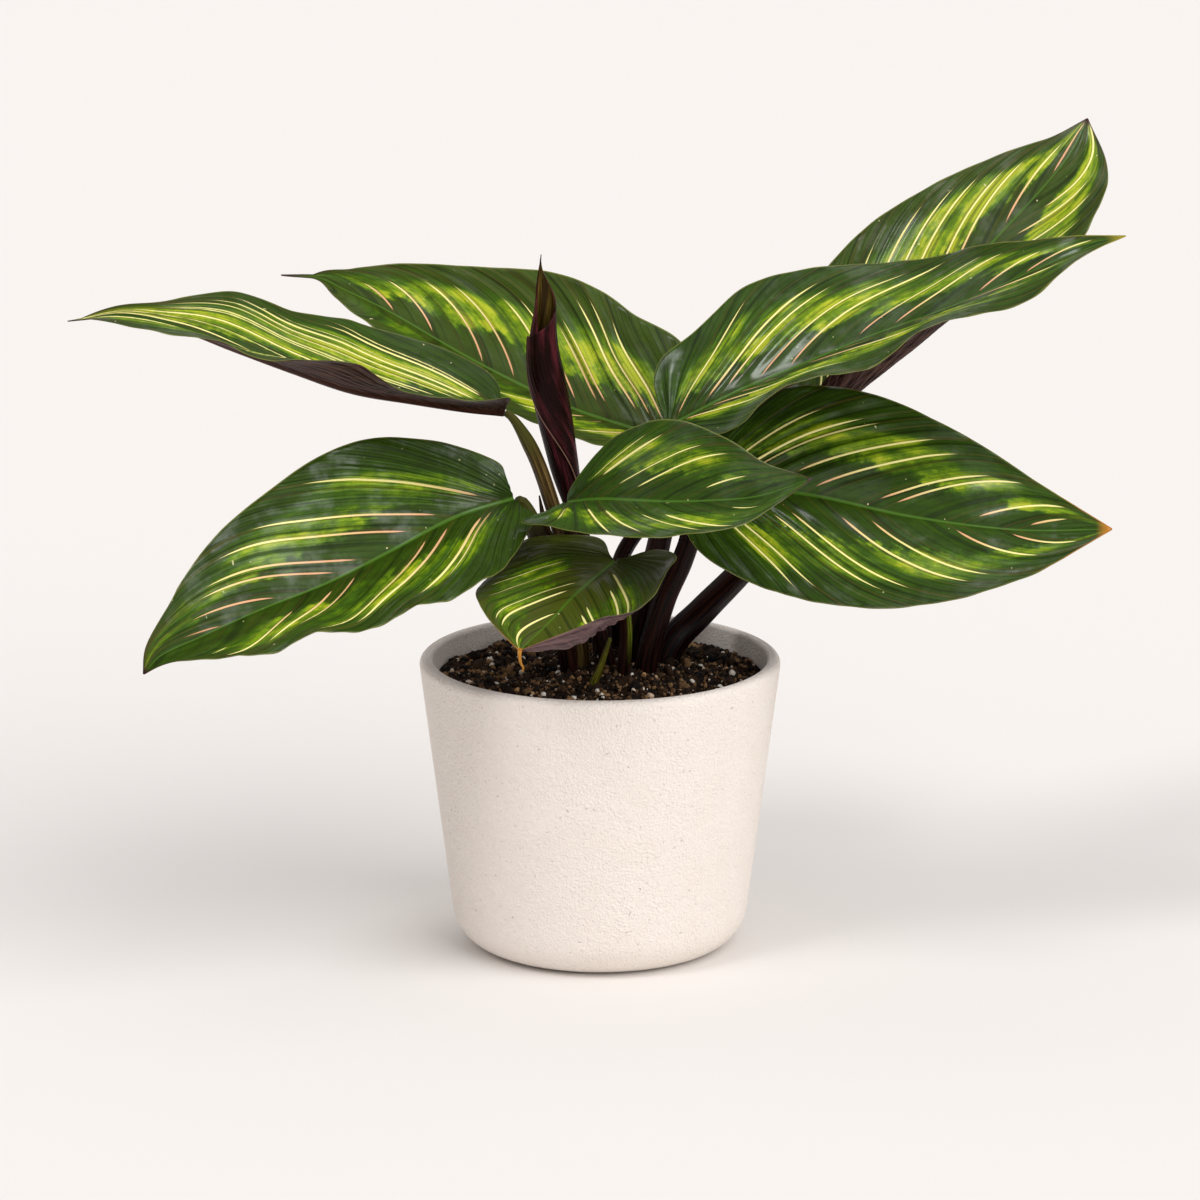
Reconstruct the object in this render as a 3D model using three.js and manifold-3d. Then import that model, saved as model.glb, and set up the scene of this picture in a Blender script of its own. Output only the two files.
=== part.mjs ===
// A young prayer plant with striped leaves, growing in a round ceramic pot.
// Millimetres, +Z up. The origin is the middle of the pot's foot, on the surface it stands on.
// The plant's front faces -Y, and left and right in the names are as seen from the front.

import * as THREE from 'three';
import { mergeVertices } from 'three/addons/utils/BufferGeometryUtils.js';
import Module from 'manifold-3d';

const wasm = await Module();
wasm.setup();

const { CatmullRomCurve3, MathUtils, Vector2, Vector3 } = THREE;

// Driving dimensions

const GAP = 0.3;

// Turn in radians that stands for none, where an arc is worked out by dividing by its turn.
const STRAIGHT = 1e-6;

const POT = {
  height: 115,
  rimRadius: 70.5,
  baseRadius: 55.8,
  wall: 5.4,
  floor: 7,
  footRound: 16.5,
  lipOuterRound: 2.7,
  lipInnerRound: 1.6,
  insideRound: 12,
  segments: 48,
};

const SOIL = {
  edgeHeight: 106.5,
  mound: 6,
  moundRadius: 46,
  crown: [8, 0],
  crownRadius: 8,
  levelBorder: 12,
  crumb: 0.9,
  crumbLength: 2.4,
  rings: 7,
};

const BLADE = {
  thickness: 0.75,
  keelDepth: 1.6,
  keelHalfWidth: 2.4,
  keelTaper: 0.7,
  baseHalfWidth: 1.6,
  baseTaper: 8,
  edgeHalfWidth: 0.3,
  widthSpread: 0.7,
  lobeReach: 0.05,
  lobePower: 1.5,
  veinPower: 1.3,
  columns: 18,
  rows: [0, 0.08, 0.24, 0.48, 0.74, 1],
};

const STALK = {
  sides: 9,
  steps: 9,
  kneeLength: 3.5,
  kneeDrop: 2.6,
  tipDrop: 1.4,
  tipSetback: 0.9,
  soilDepth: 14,
};

// Each leaf: the midrib's points from stalk to tip, and its left and right halves as seen from the
// stalk. A half has its widths, its slope in degrees above level beside the midrib and at the
// margin, all listed from stalk to tip, and how far its lobe reaches back beside the stalk. A
// ripple swings the margin's slope up and down by so many degrees. The tail is the share of the
// midrib's length left to a narrow drip tip. The stalk's points run down to the soil.
const LEAVES = [
  {
    name: 'upper_left',
    midrib: [
      [-37, -8, 215], [-50, -12, 217], [-72, -18, 221.5], [-94, -24, 226.5], [-116, -29, 235],
      [-138, -33, 244], [-160, -36, 253], [-181, -38, 258], [-201, -39, 256],
    ],
    tail: 0.03,
    veinLean: 3,
    left: {
      widths: [3, 14, 25, 26, 30, 33, 34, 27, 0],
      slope: [18, 22, 26, 22, 14, 12, 10],
      marginSlope: [60, 16, 5, 7, 26, 13, 1, 7, -4, -11, 18],
      lobe: 4,
    },
    right: {
      widths: [5, 19, 29, 33, 36.5, 30, 29, 10, 0], slope: [33], marginSlope: [33], lobe: 5,
    },
    stalk: [[-26, -5, 198], [-19, -3, 178], [-12, -1, 150], [-7, 1, 112]],
    stalkRadius: [2.7, 3.6],
  },
  {
    name: 'back_left',
    midrib: [
      [35, 30, 192], [12, 40, 197], [-11, 48, 203], [-47, 60, 218],
      [-85, 70, 238], [-101, 74, 245], [-110, 76, 249], [-126, 78, 250],
    ],
    tail: 0.07,
    veinLean: 2.5,
    left: {
      widths: [7, 22, 31, 35, 35, 31, 24, 13, 0],
      slope: [0, 0, 0, 0, -4, -8],
      marginSlope: [5, 2, 4, 2, -14, -32, -12],
      lobe: 3,
    },
    right: {
      widths: [8, 27, 38, 42, 46, 44, 33, 18, 0], slope: [55], marginSlope: [65], lobe: 3,
    },
    stalk: [[36, 26, 178], [20, 25, 165], [9, 24, 150], [6, 23, 135], [7, 22, 112]],
    stalkRadius: [2.4, 4],
  },
  {
    name: 'right_front',
    midrib: [
      [26, -2, 207], [52, -4, 221], [76, -7, 232], [100, -10, 243],
      [136, -16, 258], [178, -22, 278], [199, -25, 286],
    ],
    tail: 0,
    veinLean: 3,
    left: {
      widths: [10, 25, 30, 40, 39, 33, 26, 12, 0],
      slope: [48, 50, 40, 30, 42, 45],
      marginSlope: [55, 56, 44, 34, 42, 45],
      lobe: 3,
    },
    right: {
      widths: [7, 22, 31, 37, 37, 34, 27, 16, 0],
      slope: [-6, -6, -2, 0, 0, 0],
      marginSlope: [-6, -6, -4, -8, -26, -5],
      lobe: 3,
      ripple: { swing: 12, count: 3, phase: 0.36 },
    },
    stalk: [[26, 1.5, 180], [22.5, 3, 158], [17, 4, 137], [12, 5, 112]],
    stalkRadius: [4, 5.2],
  },
  {
    name: 'upper_right',
    midrib: [
      [84, 50, 194], [99, 56, 208], [116, 63, 224], [134, 72, 242],
      [156, 84, 263], [185, 102, 292], [194, 110, 307],
    ],
    tail: 0,
    veinLean: 3,
    left: {
      widths: [7, 24, 34, 39, 40.5, 37.5, 29.5, 17.5, 0], slope: [50], marginSlope: [46], lobe: 3,
    },
    right: {
      widths: [6, 16, 25, 31, 36, 38, 38, 29, 0],
      slope: [10, -20, -25, -20, -20],
      marginSlope: [120, 118, 100, 55, 8, 0, -45],
      lobe: 3,
    },
    stalk: [[75, 43, 168], [62, 35, 148], [40, 20, 128], [28, 13, 117], [24, 11, 107]],
    stalkRadius: [3.4, 6.6],
  },
  {
    name: 'right_middle',
    midrib: [[34, -5, 184], [76, -12, 183], [120, -22, 176], [160, -31, 173], [195, -38, 175]],
    tail: 0,
    veinLean: 3,
    left: {
      widths: [8, 25, 36, 41, 41.5, 38, 30, 17, 0],
      slope: [50, 60, 60, 60],
      marginSlope: [55, 70, 70, 60],
      lobe: 3,
    },
    right: {
      widths: [8, 25, 36, 41, 41.5, 38, 30, 17, 0],
      slope: [-40, -45, -45],
      marginSlope: [-50, -60, -50],
      lobe: 3,
    },
    stalk: [[35, -6, 167], [32, -6, 155], [25, -6.5, 139], [18, -7, 112]],
    stalkRadius: [3.8, 5],
  },
  {
    name: 'front_small',
    midrib: [
      [-13, -22, 182], [0, -34, 186], [25, -55, 190], [42, -66, 193], [59, -76, 197], [79, -86, 206],
    ],
    tail: 0,
    veinLean: 3,
    left: {
      widths: [1, 11, 21.5, 28.5, 31, 28.5, 21.5, 11, 0], slope: [58], marginSlope: [62], lobe: 0,
    },
    right: {
      widths: [8, 18.5, 25, 28.5, 30, 29.5, 27, 21, 0],
      slope: [-10, -12, -15],
      marginSlope: [-12, -16, -20],
      lobe: 12,
    },
    stalk: [[-12, -9, 168], [-6, -5.5, 148], [0, -4, 125], [3, -4, 112]],
    stalkRadius: [2.2, 3.4],
  },
  {
    name: 'front_low',
    midrib: [[6, -30, 161], [-10, -58, 154], [-18, -74, 149], [-30, -98, 143]],
    tail: 0,
    veinLean: 3,
    left: {
      widths: [4.5, 18.5, 32.5, 34, 34.5, 31, 29, 27, 0],
      slope: [14, -20, -45, -50],
      marginSlope: [25, 39, 41, 80, 90],
      lobe: 5,
    },
    right: {
      widths: [0, 15, 34, 34.5, 33, 33, 30, 19, 0],
      slope: [16, 8, 5],
      marginSlope: [10, 5, 8, 21, 19],
      lobe: 14,
    },
    stalk: [[8, -24, 150], [10, -17, 130], [9, -16, 112]],
    stalkRadius: [2, 3],
  },
  {
    name: 'lower_left',
    midrib: [
      [-33, -12, 181], [-55, -26, 177], [-79, -43, 168], [-103, -58, 159],
      [-128, -72, 152], [-150, -82, 144], [-165, -88, 138], [-171, -91, 132],
    ],
    tail: 0,
    veinLean: 3,
    left: {
      widths: [6, 15, 28, 37, 38, 38, 33, 24, 0],
      slope: [-22, -18, -12, -10, -10, -10],
      marginSlope: [-25, -26, -16, -12, -6, -6, 15],
      lobe: 7,
      ripple: { swing: 5, count: 5, phase: 0 },
    },
    right: {
      widths: [8, 16, 27.5, 39, 42.5, 40.5, 34, 20.5, 0], slope: [62], marginSlope: [66], lobe: 4,
    },
    stalk: [[-24, -10, 164], [-17, -9, 138], [-12, -9, 112]],
    stalkRadius: [3.4, 3.4],
  },
];

// The newest leaf, still rolled up lengthwise. Its free edge stands at the left, swings round the
// front to the right near the bottom, and the roll turns inward from there.
const ROLL = {
  axis: [
    [-11, 3, 174], [-13.3, 3, 185.5], [-17, 3, 205], [-20, 4, 222],
    [-22, 4, 239], [-21.2, 5, 256], [-22.4, 5, 273],
  ],
  radius: [3.5, 5.6, 6.6, 7.4, 7.5, 6.4, 5.1, 3.9, 1.2],
  thickness: 0.7,
  edgeAngle: 180,
  innerAngle: 720,
  edgeSwing: 150,
  swingHeight: 0.6,
  tightening: 1.6,
  edgeTop: 0.68,
  topBend: 1.7,
  innerTop: 0.4,
  tipAt: 0.58,
  columns: 26,
  rows: 11,
  stalk: [[-13, 3, 185], [-10.5, 3.5, 175], [-5.5, 6, 155], [0, 10, 130], [1, 11, 112]],
  stalkRadius: [3, 4],
};

// A green shoot that has just come up at the front.
const SHOOT = { path: [[4, -22, 128], [0, -22, 116], [-3, -22, 108]], radius: [0.7, 2.6] };

const COLOURS = {
  pot: { color: 0xe6dfda, roughness: 0.75 },
  soil: { color: 0x241a15, roughness: 0.95 },
  blade: { color: 0x3f6b22, roughness: 0.4 },
  stalk: { color: 0x3a1e1e, roughness: 0.45 },
  newLeaf: { color: 0x4a1d24, roughness: 0.4 },
  shoot: { color: 0x5b6128, roughness: 0.5 },
};

// Closed meshes

// Welds shared corners, drops triangles that lost their area and turns every face outward.
function closedGeometry(geometry) {
  geometry.deleteAttribute('normal');
  geometry.deleteAttribute('uv');
  const welded = mergeVertices(geometry, 1e-3);
  const place = (index) => new Vector3().fromBufferAttribute(welded.attributes.position, index);
  const corners = Array.from(welded.index.array);
  const kept = [];
  let volume = 0;
  for (let i = 0; i < corners.length; i += 3) {
    const [a, b, c] = corners.slice(i, i + 3);
    if (a === b || b === c || c === a) continue;
    kept.push([a, b, c]);
    volume += place(a).dot(place(b).cross(place(c)));
  }
  const facing = volume < 0 ? kept.map(([a, b, c]) => [a, c, b]) : kept;
  welded.setIndex(facing.flat());
  welded.computeVertexNormals();
  return welded;
}

function geometryOf(points, triangles) {
  const geometry = new THREE.BufferGeometry();
  const coordinates = points.flatMap((point) => point.toArray());
  geometry.setAttribute('position', new THREE.Float32BufferAttribute(coordinates, 3));
  geometry.setIndex(triangles);
  return closedGeometry(geometry);
}

// A thin sheet between two grids of points, with both faces split along the same diagonals.
function sheetGeometry(upper, lower) {
  const columns = upper.length;
  const rows = upper[0].length;
  const triangles = [];
  const at = (face, i, j) => face * columns * rows + i * rows + j;
  const quad = (a, b, c, d) => triangles.push(a, b, c, a, c, d);
  for (let i = 0; i < columns - 1; i++) {
    for (let j = 0; j < rows - 1; j++) {
      quad(at(0, i, j), at(0, i + 1, j), at(0, i + 1, j + 1), at(0, i, j + 1));
      quad(at(1, i, j), at(1, i, j + 1), at(1, i + 1, j + 1), at(1, i + 1, j));
    }
  }
  const border = [];
  for (let i = 0; i < columns - 1; i++) border.push([i, 0]);
  for (let j = 0; j < rows - 1; j++) border.push([columns - 1, j]);
  for (let i = columns - 1; i > 0; i--) border.push([i, rows - 1]);
  for (let j = rows - 1; j > 0; j--) border.push([0, j]);
  border.forEach(([i, j], k) => {
    const [nextI, nextJ] = border[(k + 1) % border.length];
    quad(at(0, nextI, nextJ), at(0, i, j), at(1, i, j), at(1, nextI, nextJ));
  });
  return geometryOf([...upper.flat(), ...lower.flat()], triangles);
}

// A round rod along a curve, closed at both ends, whose radius follows radiusAt from 0 to 1.
function rodGeometry(curve, radiusAt, sides, steps) {
  const frames = curve.computeFrenetFrames(steps);
  const points = [];
  for (let i = 0; i <= steps; i++) {
    const middle = curve.getPointAt(i / steps);
    for (let k = 0; k < sides; k++) {
      const angle = (2 * Math.PI * k) / sides;
      const out = frames.normals[i].clone().multiplyScalar(Math.cos(angle));
      out.addScaledVector(frames.binormals[i], Math.sin(angle));
      points.push(middle.clone().addScaledVector(out, radiusAt(i / steps)));
    }
  }
  const first = points.push(curve.getPointAt(0)) - 1;
  const last = points.push(curve.getPointAt(1)) - 1;
  const triangles = [];
  for (let k = 0; k < sides; k++) {
    const next = (k + 1) % sides;
    for (let i = 0; i < steps; i++) {
      const [a, b] = [i * sides + k, i * sides + next];
      triangles.push(a, b, b + sides, a, b + sides, a + sides);
    }
    triangles.push(first, next, k, last, steps * sides + k, steps * sides + next);
  }
  return geometryOf(points, triangles);
}

function toSolid(geometry) {
  const { position } = geometry.attributes;
  const mesh = new wasm.Mesh({
    numProp: 3,
    vertProperties: new Float32Array(position.array),
    triVerts: new Uint32Array(geometry.index.array),
  });
  return new wasm.Manifold(mesh);
}

function fromSolid(solid) {
  const { vertProperties, triVerts } = solid.getMesh();
  const geometry = new THREE.BufferGeometry();
  geometry.setAttribute('position', new THREE.Float32BufferAttribute(vertProperties, 3));
  geometry.setIndex(Array.from(triVerts));
  return closedGeometry(geometry);
}

// Small helpers

const vector = (point) => new Vector3(...point);

const curveThrough = (points) => new CatmullRomCurve3(points.map(vector));

// Reads a list of values, spread evenly from 0 to 1, as a smooth curve.
function along(values, s) {
  const place = MathUtils.clamp(s, 0, 1) * (values.length - 1);
  const index = Math.min(Math.floor(place), values.length - 2);
  if (values.length === 1) return values[0];
  const t = place - index;
  const [b, c] = [values[index], values[index + 1]];
  const a = index > 0 ? values[index - 1] : 2 * b - c;
  const d = index + 2 < values.length ? values[index + 2] : 2 * c - b;
  const bend = (2 * a - 5 * b + 4 * c - d) * t + (3 * b - a - 3 * c + d) * t * t;
  return b + 0.5 * t * (c - a + bend);
}

// Points of an arc in the pot's profile, with x the radius and y the height.
function arc(centre, radius, fromAngle, toAngle, steps) {
  return Array.from({ length: steps + 1 }, (_, i) => {
    const angle = MathUtils.lerp(fromAngle, toAngle, i / steps);
    return new Vector2(centre.x + radius * Math.cos(angle), centre.y + radius * Math.sin(angle));
  });
}

// The pot

const wallLean = Math.atan((POT.rimRadius - POT.baseRadius) / POT.height);
const quarterTurn = Math.PI / 2;

// Radius at a height of the pot's straight outer wall, or of a face set in from it.
const wallRadius = (height, inset) => (
  POT.baseRadius + height * Math.tan(wallLean) - inset / Math.cos(wallLean)
);

// Where the rounding between the inside wall and the floor is centred.
const insideCornerHeight = POT.floor + POT.insideRound;
const insideCorner = new Vector2(
  wallRadius(insideCornerHeight, POT.wall + POT.insideRound),
  insideCornerHeight,
);

function revolve(profile) {
  const geometry = new THREE.LatheGeometry(profile, POT.segments);
  return geometry.rotateX(quarterTurn);
}

function potGeometry() {
  const { height, wall, floor, footRound, lipOuterRound, lipInnerRound, insideRound } = POT;
  const foot = new Vector2(wallRadius(footRound, footRound), footRound);
  const lipOuterHeight = height - lipOuterRound;
  const lipOuter = new Vector2(wallRadius(lipOuterHeight, lipOuterRound), lipOuterHeight);
  const lipInnerHeight = height - lipInnerRound;
  const lipInner = new Vector2(wallRadius(lipInnerHeight, wall - lipInnerRound), lipInnerHeight);
  return closedGeometry(revolve([
    new Vector2(0, 0),
    ...arc(foot, footRound, -quarterTurn, -wallLean, 5),
    ...arc(lipOuter, lipOuterRound, -wallLean, quarterTurn, 3),
    ...arc(lipInner, lipInnerRound, quarterTurn, Math.PI - wallLean, 2),
    ...arc(insideCorner, insideRound, -wallLean, -quarterTurn, 3),
    new Vector2(0, floor),
  ]));
}

// The soil

const soilRim = wallRadius(SOIL.edgeHeight, POT.wall + GAP);

// Height of the soil's surface: level at the wall, heaped round the stalks, and crumbly.
function soilHeight(x, y) {
  const fromWall = soilRim - Math.hypot(x, y);
  const fromCrown = Math.hypot(x - SOIL.crown[0], y - SOIL.crown[1]);
  const inward = MathUtils.smoothstep(fromWall, 0, SOIL.levelBorder);
  const heap = 1 - MathUtils.smoothstep(fromCrown, SOIL.crownRadius, SOIL.moundRadius);
  const crumbs = Math.sin(x / SOIL.crumbLength) * Math.cos(y / SOIL.crumbLength);
  return SOIL.edgeHeight + SOIL.mound * heap + SOIL.crumb * crumbs * inward;
}

function soilGeometry() {
  const surface = [];
  for (let ring = SOIL.rings; ring >= 0; ring--) {
    surface.push(new Vector2((soilRim * ring) / SOIL.rings, SOIL.edgeHeight));
  }
  const geometry = revolve([
    new Vector2(0, POT.floor + GAP),
    ...arc(insideCorner, POT.insideRound - GAP, -quarterTurn, -wallLean, 3),
    ...surface,
  ]);
  const { position } = geometry.attributes;
  for (let i = 0; i < position.count; i++) {
    if (position.getZ(i) < SOIL.edgeHeight - 0.01) continue;
    position.setZ(i, soilHeight(position.getX(i), position.getY(i)));
  }
  return closedGeometry(geometry);
}

// Leaf blades

// Width of one half at s along the midrib, 0 at the stalk and 1 at the tip. The listed widths lie
// closer together near the stalk, and past 1 - tail only the narrow drip tip is left.
function halfWidth(leaf, half, s) {
  const t = Math.min(s / (1 - leaf.tail), 1);
  const body = Math.max(along(half.widths, t ** BLADE.widthSpread), 0);
  return body + BLADE.baseHalfWidth * (1 - s ** BLADE.baseTaper) + BLADE.edgeHalfWidth;
}

// The midrib's place and its directions forward, to the leaf's right and up from its upper face.
function midribFrame(midrib, s) {
  const place = midrib.getPointAt(s);
  const forward = midrib.getTangentAt(s);
  const rightward = new Vector3().crossVectors(forward, new Vector3(0, 0, 1)).normalize();
  const up = new Vector3().crossVectors(rightward, forward);
  return { place, forward, rightward, up };
}

// Slope of one half's margin in degrees at s along the midrib, with its ripple.
function marginSlope(half, s) {
  const slope = along(half.marginSlope, s);
  if (!half.ripple) return slope;
  const { swing, count, phase } = half.ripple;
  return slope + swing * Math.sin(2 * Math.PI * (count * s + phase));
}

// A point of the upper face at s along the midrib and v across one half, from midrib to margin,
// with the face's normal there. The half's cross-section is an arc, whose slope turns evenly from
// midrib to margin.
function bladePoint(leaf, midrib, side, s, v) {
  const half = side > 0 ? leaf.right : leaf.left;
  const { place, forward, rightward, up } = midribFrame(midrib, s);
  const width = halfWidth(leaf, half, s);
  const start = MathUtils.degToRad(along(half.slope, s));
  const turn = MathUtils.degToRad(marginSlope(half, s)) - start || STRAIGHT;
  const slope = start + turn * v;
  const across = ((Math.sin(slope) - Math.sin(start)) / turn) * width;
  const lift = ((Math.cos(start) - Math.cos(slope)) / turn) * width;
  const reach = s / BLADE.lobeReach;
  const back = half.lobe * v ** BLADE.lobePower * reach * Math.exp(1 - reach);
  place.addScaledVector(rightward, side * across);
  place.addScaledVector(up, lift);
  place.addScaledVector(forward, -back);
  const normal = up.clone().multiplyScalar(Math.cos(slope));
  normal.addScaledVector(rightward, -side * Math.sin(slope));
  return { place, normal, fromMidrib: v * width };
}

// Columns of the blade's mesh are its side veins. The one that meets the margin at m leaves the
// midrib much nearer to the stalk, and sweeps forward.
function alongVein(leaf, m, v) {
  const root = m ** leaf.veinLean;
  return root + (m - root) * v ** BLADE.veinPower;
}

// Thickness at s along the midrib and a distance from it, with the midrib's keel underneath.
function bladeThickness(s, fromMidrib) {
  const keel = Math.exp(-((fromMidrib / BLADE.keelHalfWidth) ** 2));
  return BLADE.thickness + BLADE.keelDepth * (1 - s) ** BLADE.keelTaper * keel;
}

function bladeGeometry(leaf) {
  const midrib = curveThrough(leaf.midrib);
  const last = BLADE.rows.length - 1;
  const upper = [];
  const lower = [];
  for (let i = 0; i <= BLADE.columns; i++) {
    const m = i / BLADE.columns;
    const upperColumn = [];
    const lowerColumn = [];
    for (let row = -last; row <= last; row++) {
      const v = BLADE.rows[Math.abs(row)];
      const s = alongVein(leaf, m, v);
      const { place, normal, fromMidrib } = bladePoint(leaf, midrib, Math.sign(row) || 1, s, v);
      if (row === 0) normal.add(bladePoint(leaf, midrib, -1, s, 0).normal).normalize();
      upperColumn.push(place);
      lowerColumn.push(place.clone().addScaledVector(normal, -bladeThickness(s, fromMidrib)));
    }
    upper.push(upperColumn);
    lower.push(lowerColumn);
  }
  return sheetGeometry(upper, lower);
}

// Stalks

// The stalk's whole route, from just under the blade's base, through its knee and the listed
// points, and straight down into the soil.
function stalkCurve(leaf, extraDepth) {
  const { place, forward, up } = midribFrame(curveThrough(leaf.midrib), 0);
  const behindAndBelow = (setback, drop) => (
    place.clone().addScaledVector(forward, -setback).addScaledVector(up, -drop)
  );
  const tip = behindAndBelow(STALK.tipSetback, STALK.tipDrop);
  const knee = behindAndBelow(STALK.kneeLength, STALK.kneeDrop);
  return new CatmullRomCurve3([tip, knee, ...rootedPoints(leaf.stalk, extraDepth)]);
}

function rootedPoints(points, extraDepth) {
  const lowest = vector(points[points.length - 1]);
  const root = lowest.clone().setZ(SOIL.edgeHeight - STALK.soilDepth - extraDepth);
  return [...points.map(vector), root];
}

function stalkGeometry(curve, [topRadius, bottomRadius], clearance) {
  const radiusAt = (s) => MathUtils.lerp(topRadius, bottomRadius, s) + clearance;
  return rodGeometry(curve, radiusAt, STALK.sides, STALK.steps);
}

// The rolled leaf

// Height of the sheet's top edge at w round the roll: it climbs to the tip and falls again.
function rollTop(w) {
  const { edgeTop, topBend, innerTop, tipAt } = ROLL;
  if (w < tipAt) return MathUtils.lerp(edgeTop, 1, (w / tipAt) ** topBend);
  return MathUtils.lerp(1, innerTop, (w - tipAt) / (1 - tipAt));
}

// A point of the sheet at height t, 0 at the bottom and 1 at its top edge, and w round the roll
// from the free outer edge inward, moved out by offset.
function rollPoint(axis, t, w, offset) {
  const { edgeAngle, innerAngle, edgeSwing, swingHeight, tightening } = ROLL;
  const height = t * rollTop(w);
  const swing = edgeSwing * (1 - MathUtils.smoothstep(height, 0, swingHeight));
  const angle = MathUtils.degToRad(MathUtils.lerp(edgeAngle + swing, innerAngle, w));
  const radius = along(ROLL.radius, height) - tightening * w + offset;
  const out = new Vector3(radius * Math.cos(angle), radius * Math.sin(angle), 0);
  return axis.getPointAt(height).add(out);
}

function rolledLeafGeometry(stalk) {
  const { columns, rows, thickness } = ROLL;
  const axis = curveThrough(ROLL.axis);
  const column = (w, offset) => (
    Array.from({ length: rows + 1 }, (_, j) => rollPoint(axis, j / rows, w, offset))
  );
  const face = (offset) => Array.from({ length: columns + 1 }, (_, i) => column(i / columns, offset));
  const sheet = sheetGeometry(face(thickness / 2), face(-thickness / 2));
  return fromSolid(toSolid(sheet).add(toSolid(stalk)));
}

// The whole plant

const plant = new THREE.Group();
plant.name = 'potted_prayer_plant';

function addMesh(name, geometry, colours) {
  const material = new THREE.MeshStandardMaterial({ ...colours, metalness: 0 });
  const mesh = new THREE.Mesh(geometry, material);
  mesh.name = name;
  plant.add(mesh);
}

addMesh('pot', potGeometry(), COLOURS.pot);

let soil = toSolid(soilGeometry());
const bore = (makeCurve, radius) => {
  soil = soil.subtract(toSolid(stalkGeometry(makeCurve(GAP), radius, GAP)));
};

for (const leaf of LEAVES) {
  const curve = (extraDepth) => stalkCurve(leaf, extraDepth);
  addMesh(`leaf_${leaf.name}`, bladeGeometry(leaf), COLOURS.blade);
  addMesh(`stalk_${leaf.name}`, stalkGeometry(curve(0), leaf.stalkRadius, 0), COLOURS.stalk);
  bore(curve, leaf.stalkRadius);
}

const rollStalk = (extraDepth) => new CatmullRomCurve3(rootedPoints(ROLL.stalk, extraDepth));
const newLeaf = rolledLeafGeometry(stalkGeometry(rollStalk(0), ROLL.stalkRadius, 0));
addMesh('new_leaf', newLeaf, COLOURS.newLeaf);
bore(rollStalk, ROLL.stalkRadius);

const shootCurve = (extraDepth) => new CatmullRomCurve3(rootedPoints(SHOOT.path, extraDepth));
addMesh('shoot', stalkGeometry(shootCurve(0), SHOOT.radius, 0), COLOURS.shoot);
bore(shootCurve, SHOOT.radius);

addMesh('soil', fromSolid(soil), COLOURS.soil);

export default plant;
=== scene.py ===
# Looks of a young prayer plant with striped leaves in a round ceramic pot, for Blender 4.5.
# Lengths are in millimetres up to the point where a mesh is made. The frame is the CAD's: the
# origin is the middle of the pot's foot, +Z is up, and the plant's front faces -Y.

import math

import bmesh
import bpy
import numpy as np
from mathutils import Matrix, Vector


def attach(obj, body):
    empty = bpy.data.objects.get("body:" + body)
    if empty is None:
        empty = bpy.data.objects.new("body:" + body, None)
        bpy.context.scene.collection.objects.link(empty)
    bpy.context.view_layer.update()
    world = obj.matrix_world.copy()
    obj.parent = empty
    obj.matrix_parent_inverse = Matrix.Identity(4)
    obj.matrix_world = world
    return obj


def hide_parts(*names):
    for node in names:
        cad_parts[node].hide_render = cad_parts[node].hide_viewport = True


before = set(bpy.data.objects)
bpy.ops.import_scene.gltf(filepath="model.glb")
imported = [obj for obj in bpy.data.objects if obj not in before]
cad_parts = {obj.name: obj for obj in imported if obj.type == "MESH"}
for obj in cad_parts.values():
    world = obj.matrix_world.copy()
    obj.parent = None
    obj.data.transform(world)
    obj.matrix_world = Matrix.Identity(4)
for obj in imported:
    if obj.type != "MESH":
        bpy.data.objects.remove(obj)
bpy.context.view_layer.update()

# Driving dimensions, the same as in the CAD

MM = 0.001

POT = {
    "height": 115, "rim_radius": 70.5, "base_radius": 55.8, "wall": 5.4, "floor": 7,
    "foot_round": 16.5, "lip_outer_round": 2.7, "lip_inner_round": 1.6, "inside_round": 12,
}

SOIL = {
    "edge_height": 106.5, "mound": 6, "mound_radius": 46, "crown": (8, 0), "crown_radius": 8,
    "gap": 0.3,
}

BLADE = {
    "base_half_width": 1.6, "base_taper": 8, "edge_half_width": 0.3, "width_spread": 0.7,
    "lobe_reach": 0.05, "lobe_power": 1.5, "vein_power": 1.3,
}

STALK = {"knee_length": 3.5, "knee_drop": 2.6, "tip_drop": 1.4, "tip_setback": 0.9, "soil_depth": 14}

ROLL = {
    "axis": [
        (-11, 3, 174), (-13.3, 3, 185.5), (-17, 3, 205), (-20, 4, 222),
        (-22, 4, 239), (-21.2, 5, 256), (-22.4, 5, 273),
    ],
    "radius": [3.5, 5.6, 6.6, 7.4, 7.5, 6.4, 5.1, 3.9, 1.2],
    "edge_angle": 180, "inner_angle": 720, "edge_swing": 150, "swing_height": 0.6,
    "tightening": 1.6, "edge_top": 0.68, "top_bend": 1.7, "inner_top": 0.4, "tip_at": 0.58,
    "stalk": [(-13, 3, 185), (-10.5, 3.5, 175), (-5.5, 6, 155), (0, 10, 130), (1, 11, 112)],
    "stalk_radius": (3, 4),
}

SHOOT = {"path": [(4, -22, 128), (0, -22, 116), (-3, -22, 108)], "radius": (0.7, 2.6)}

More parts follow.
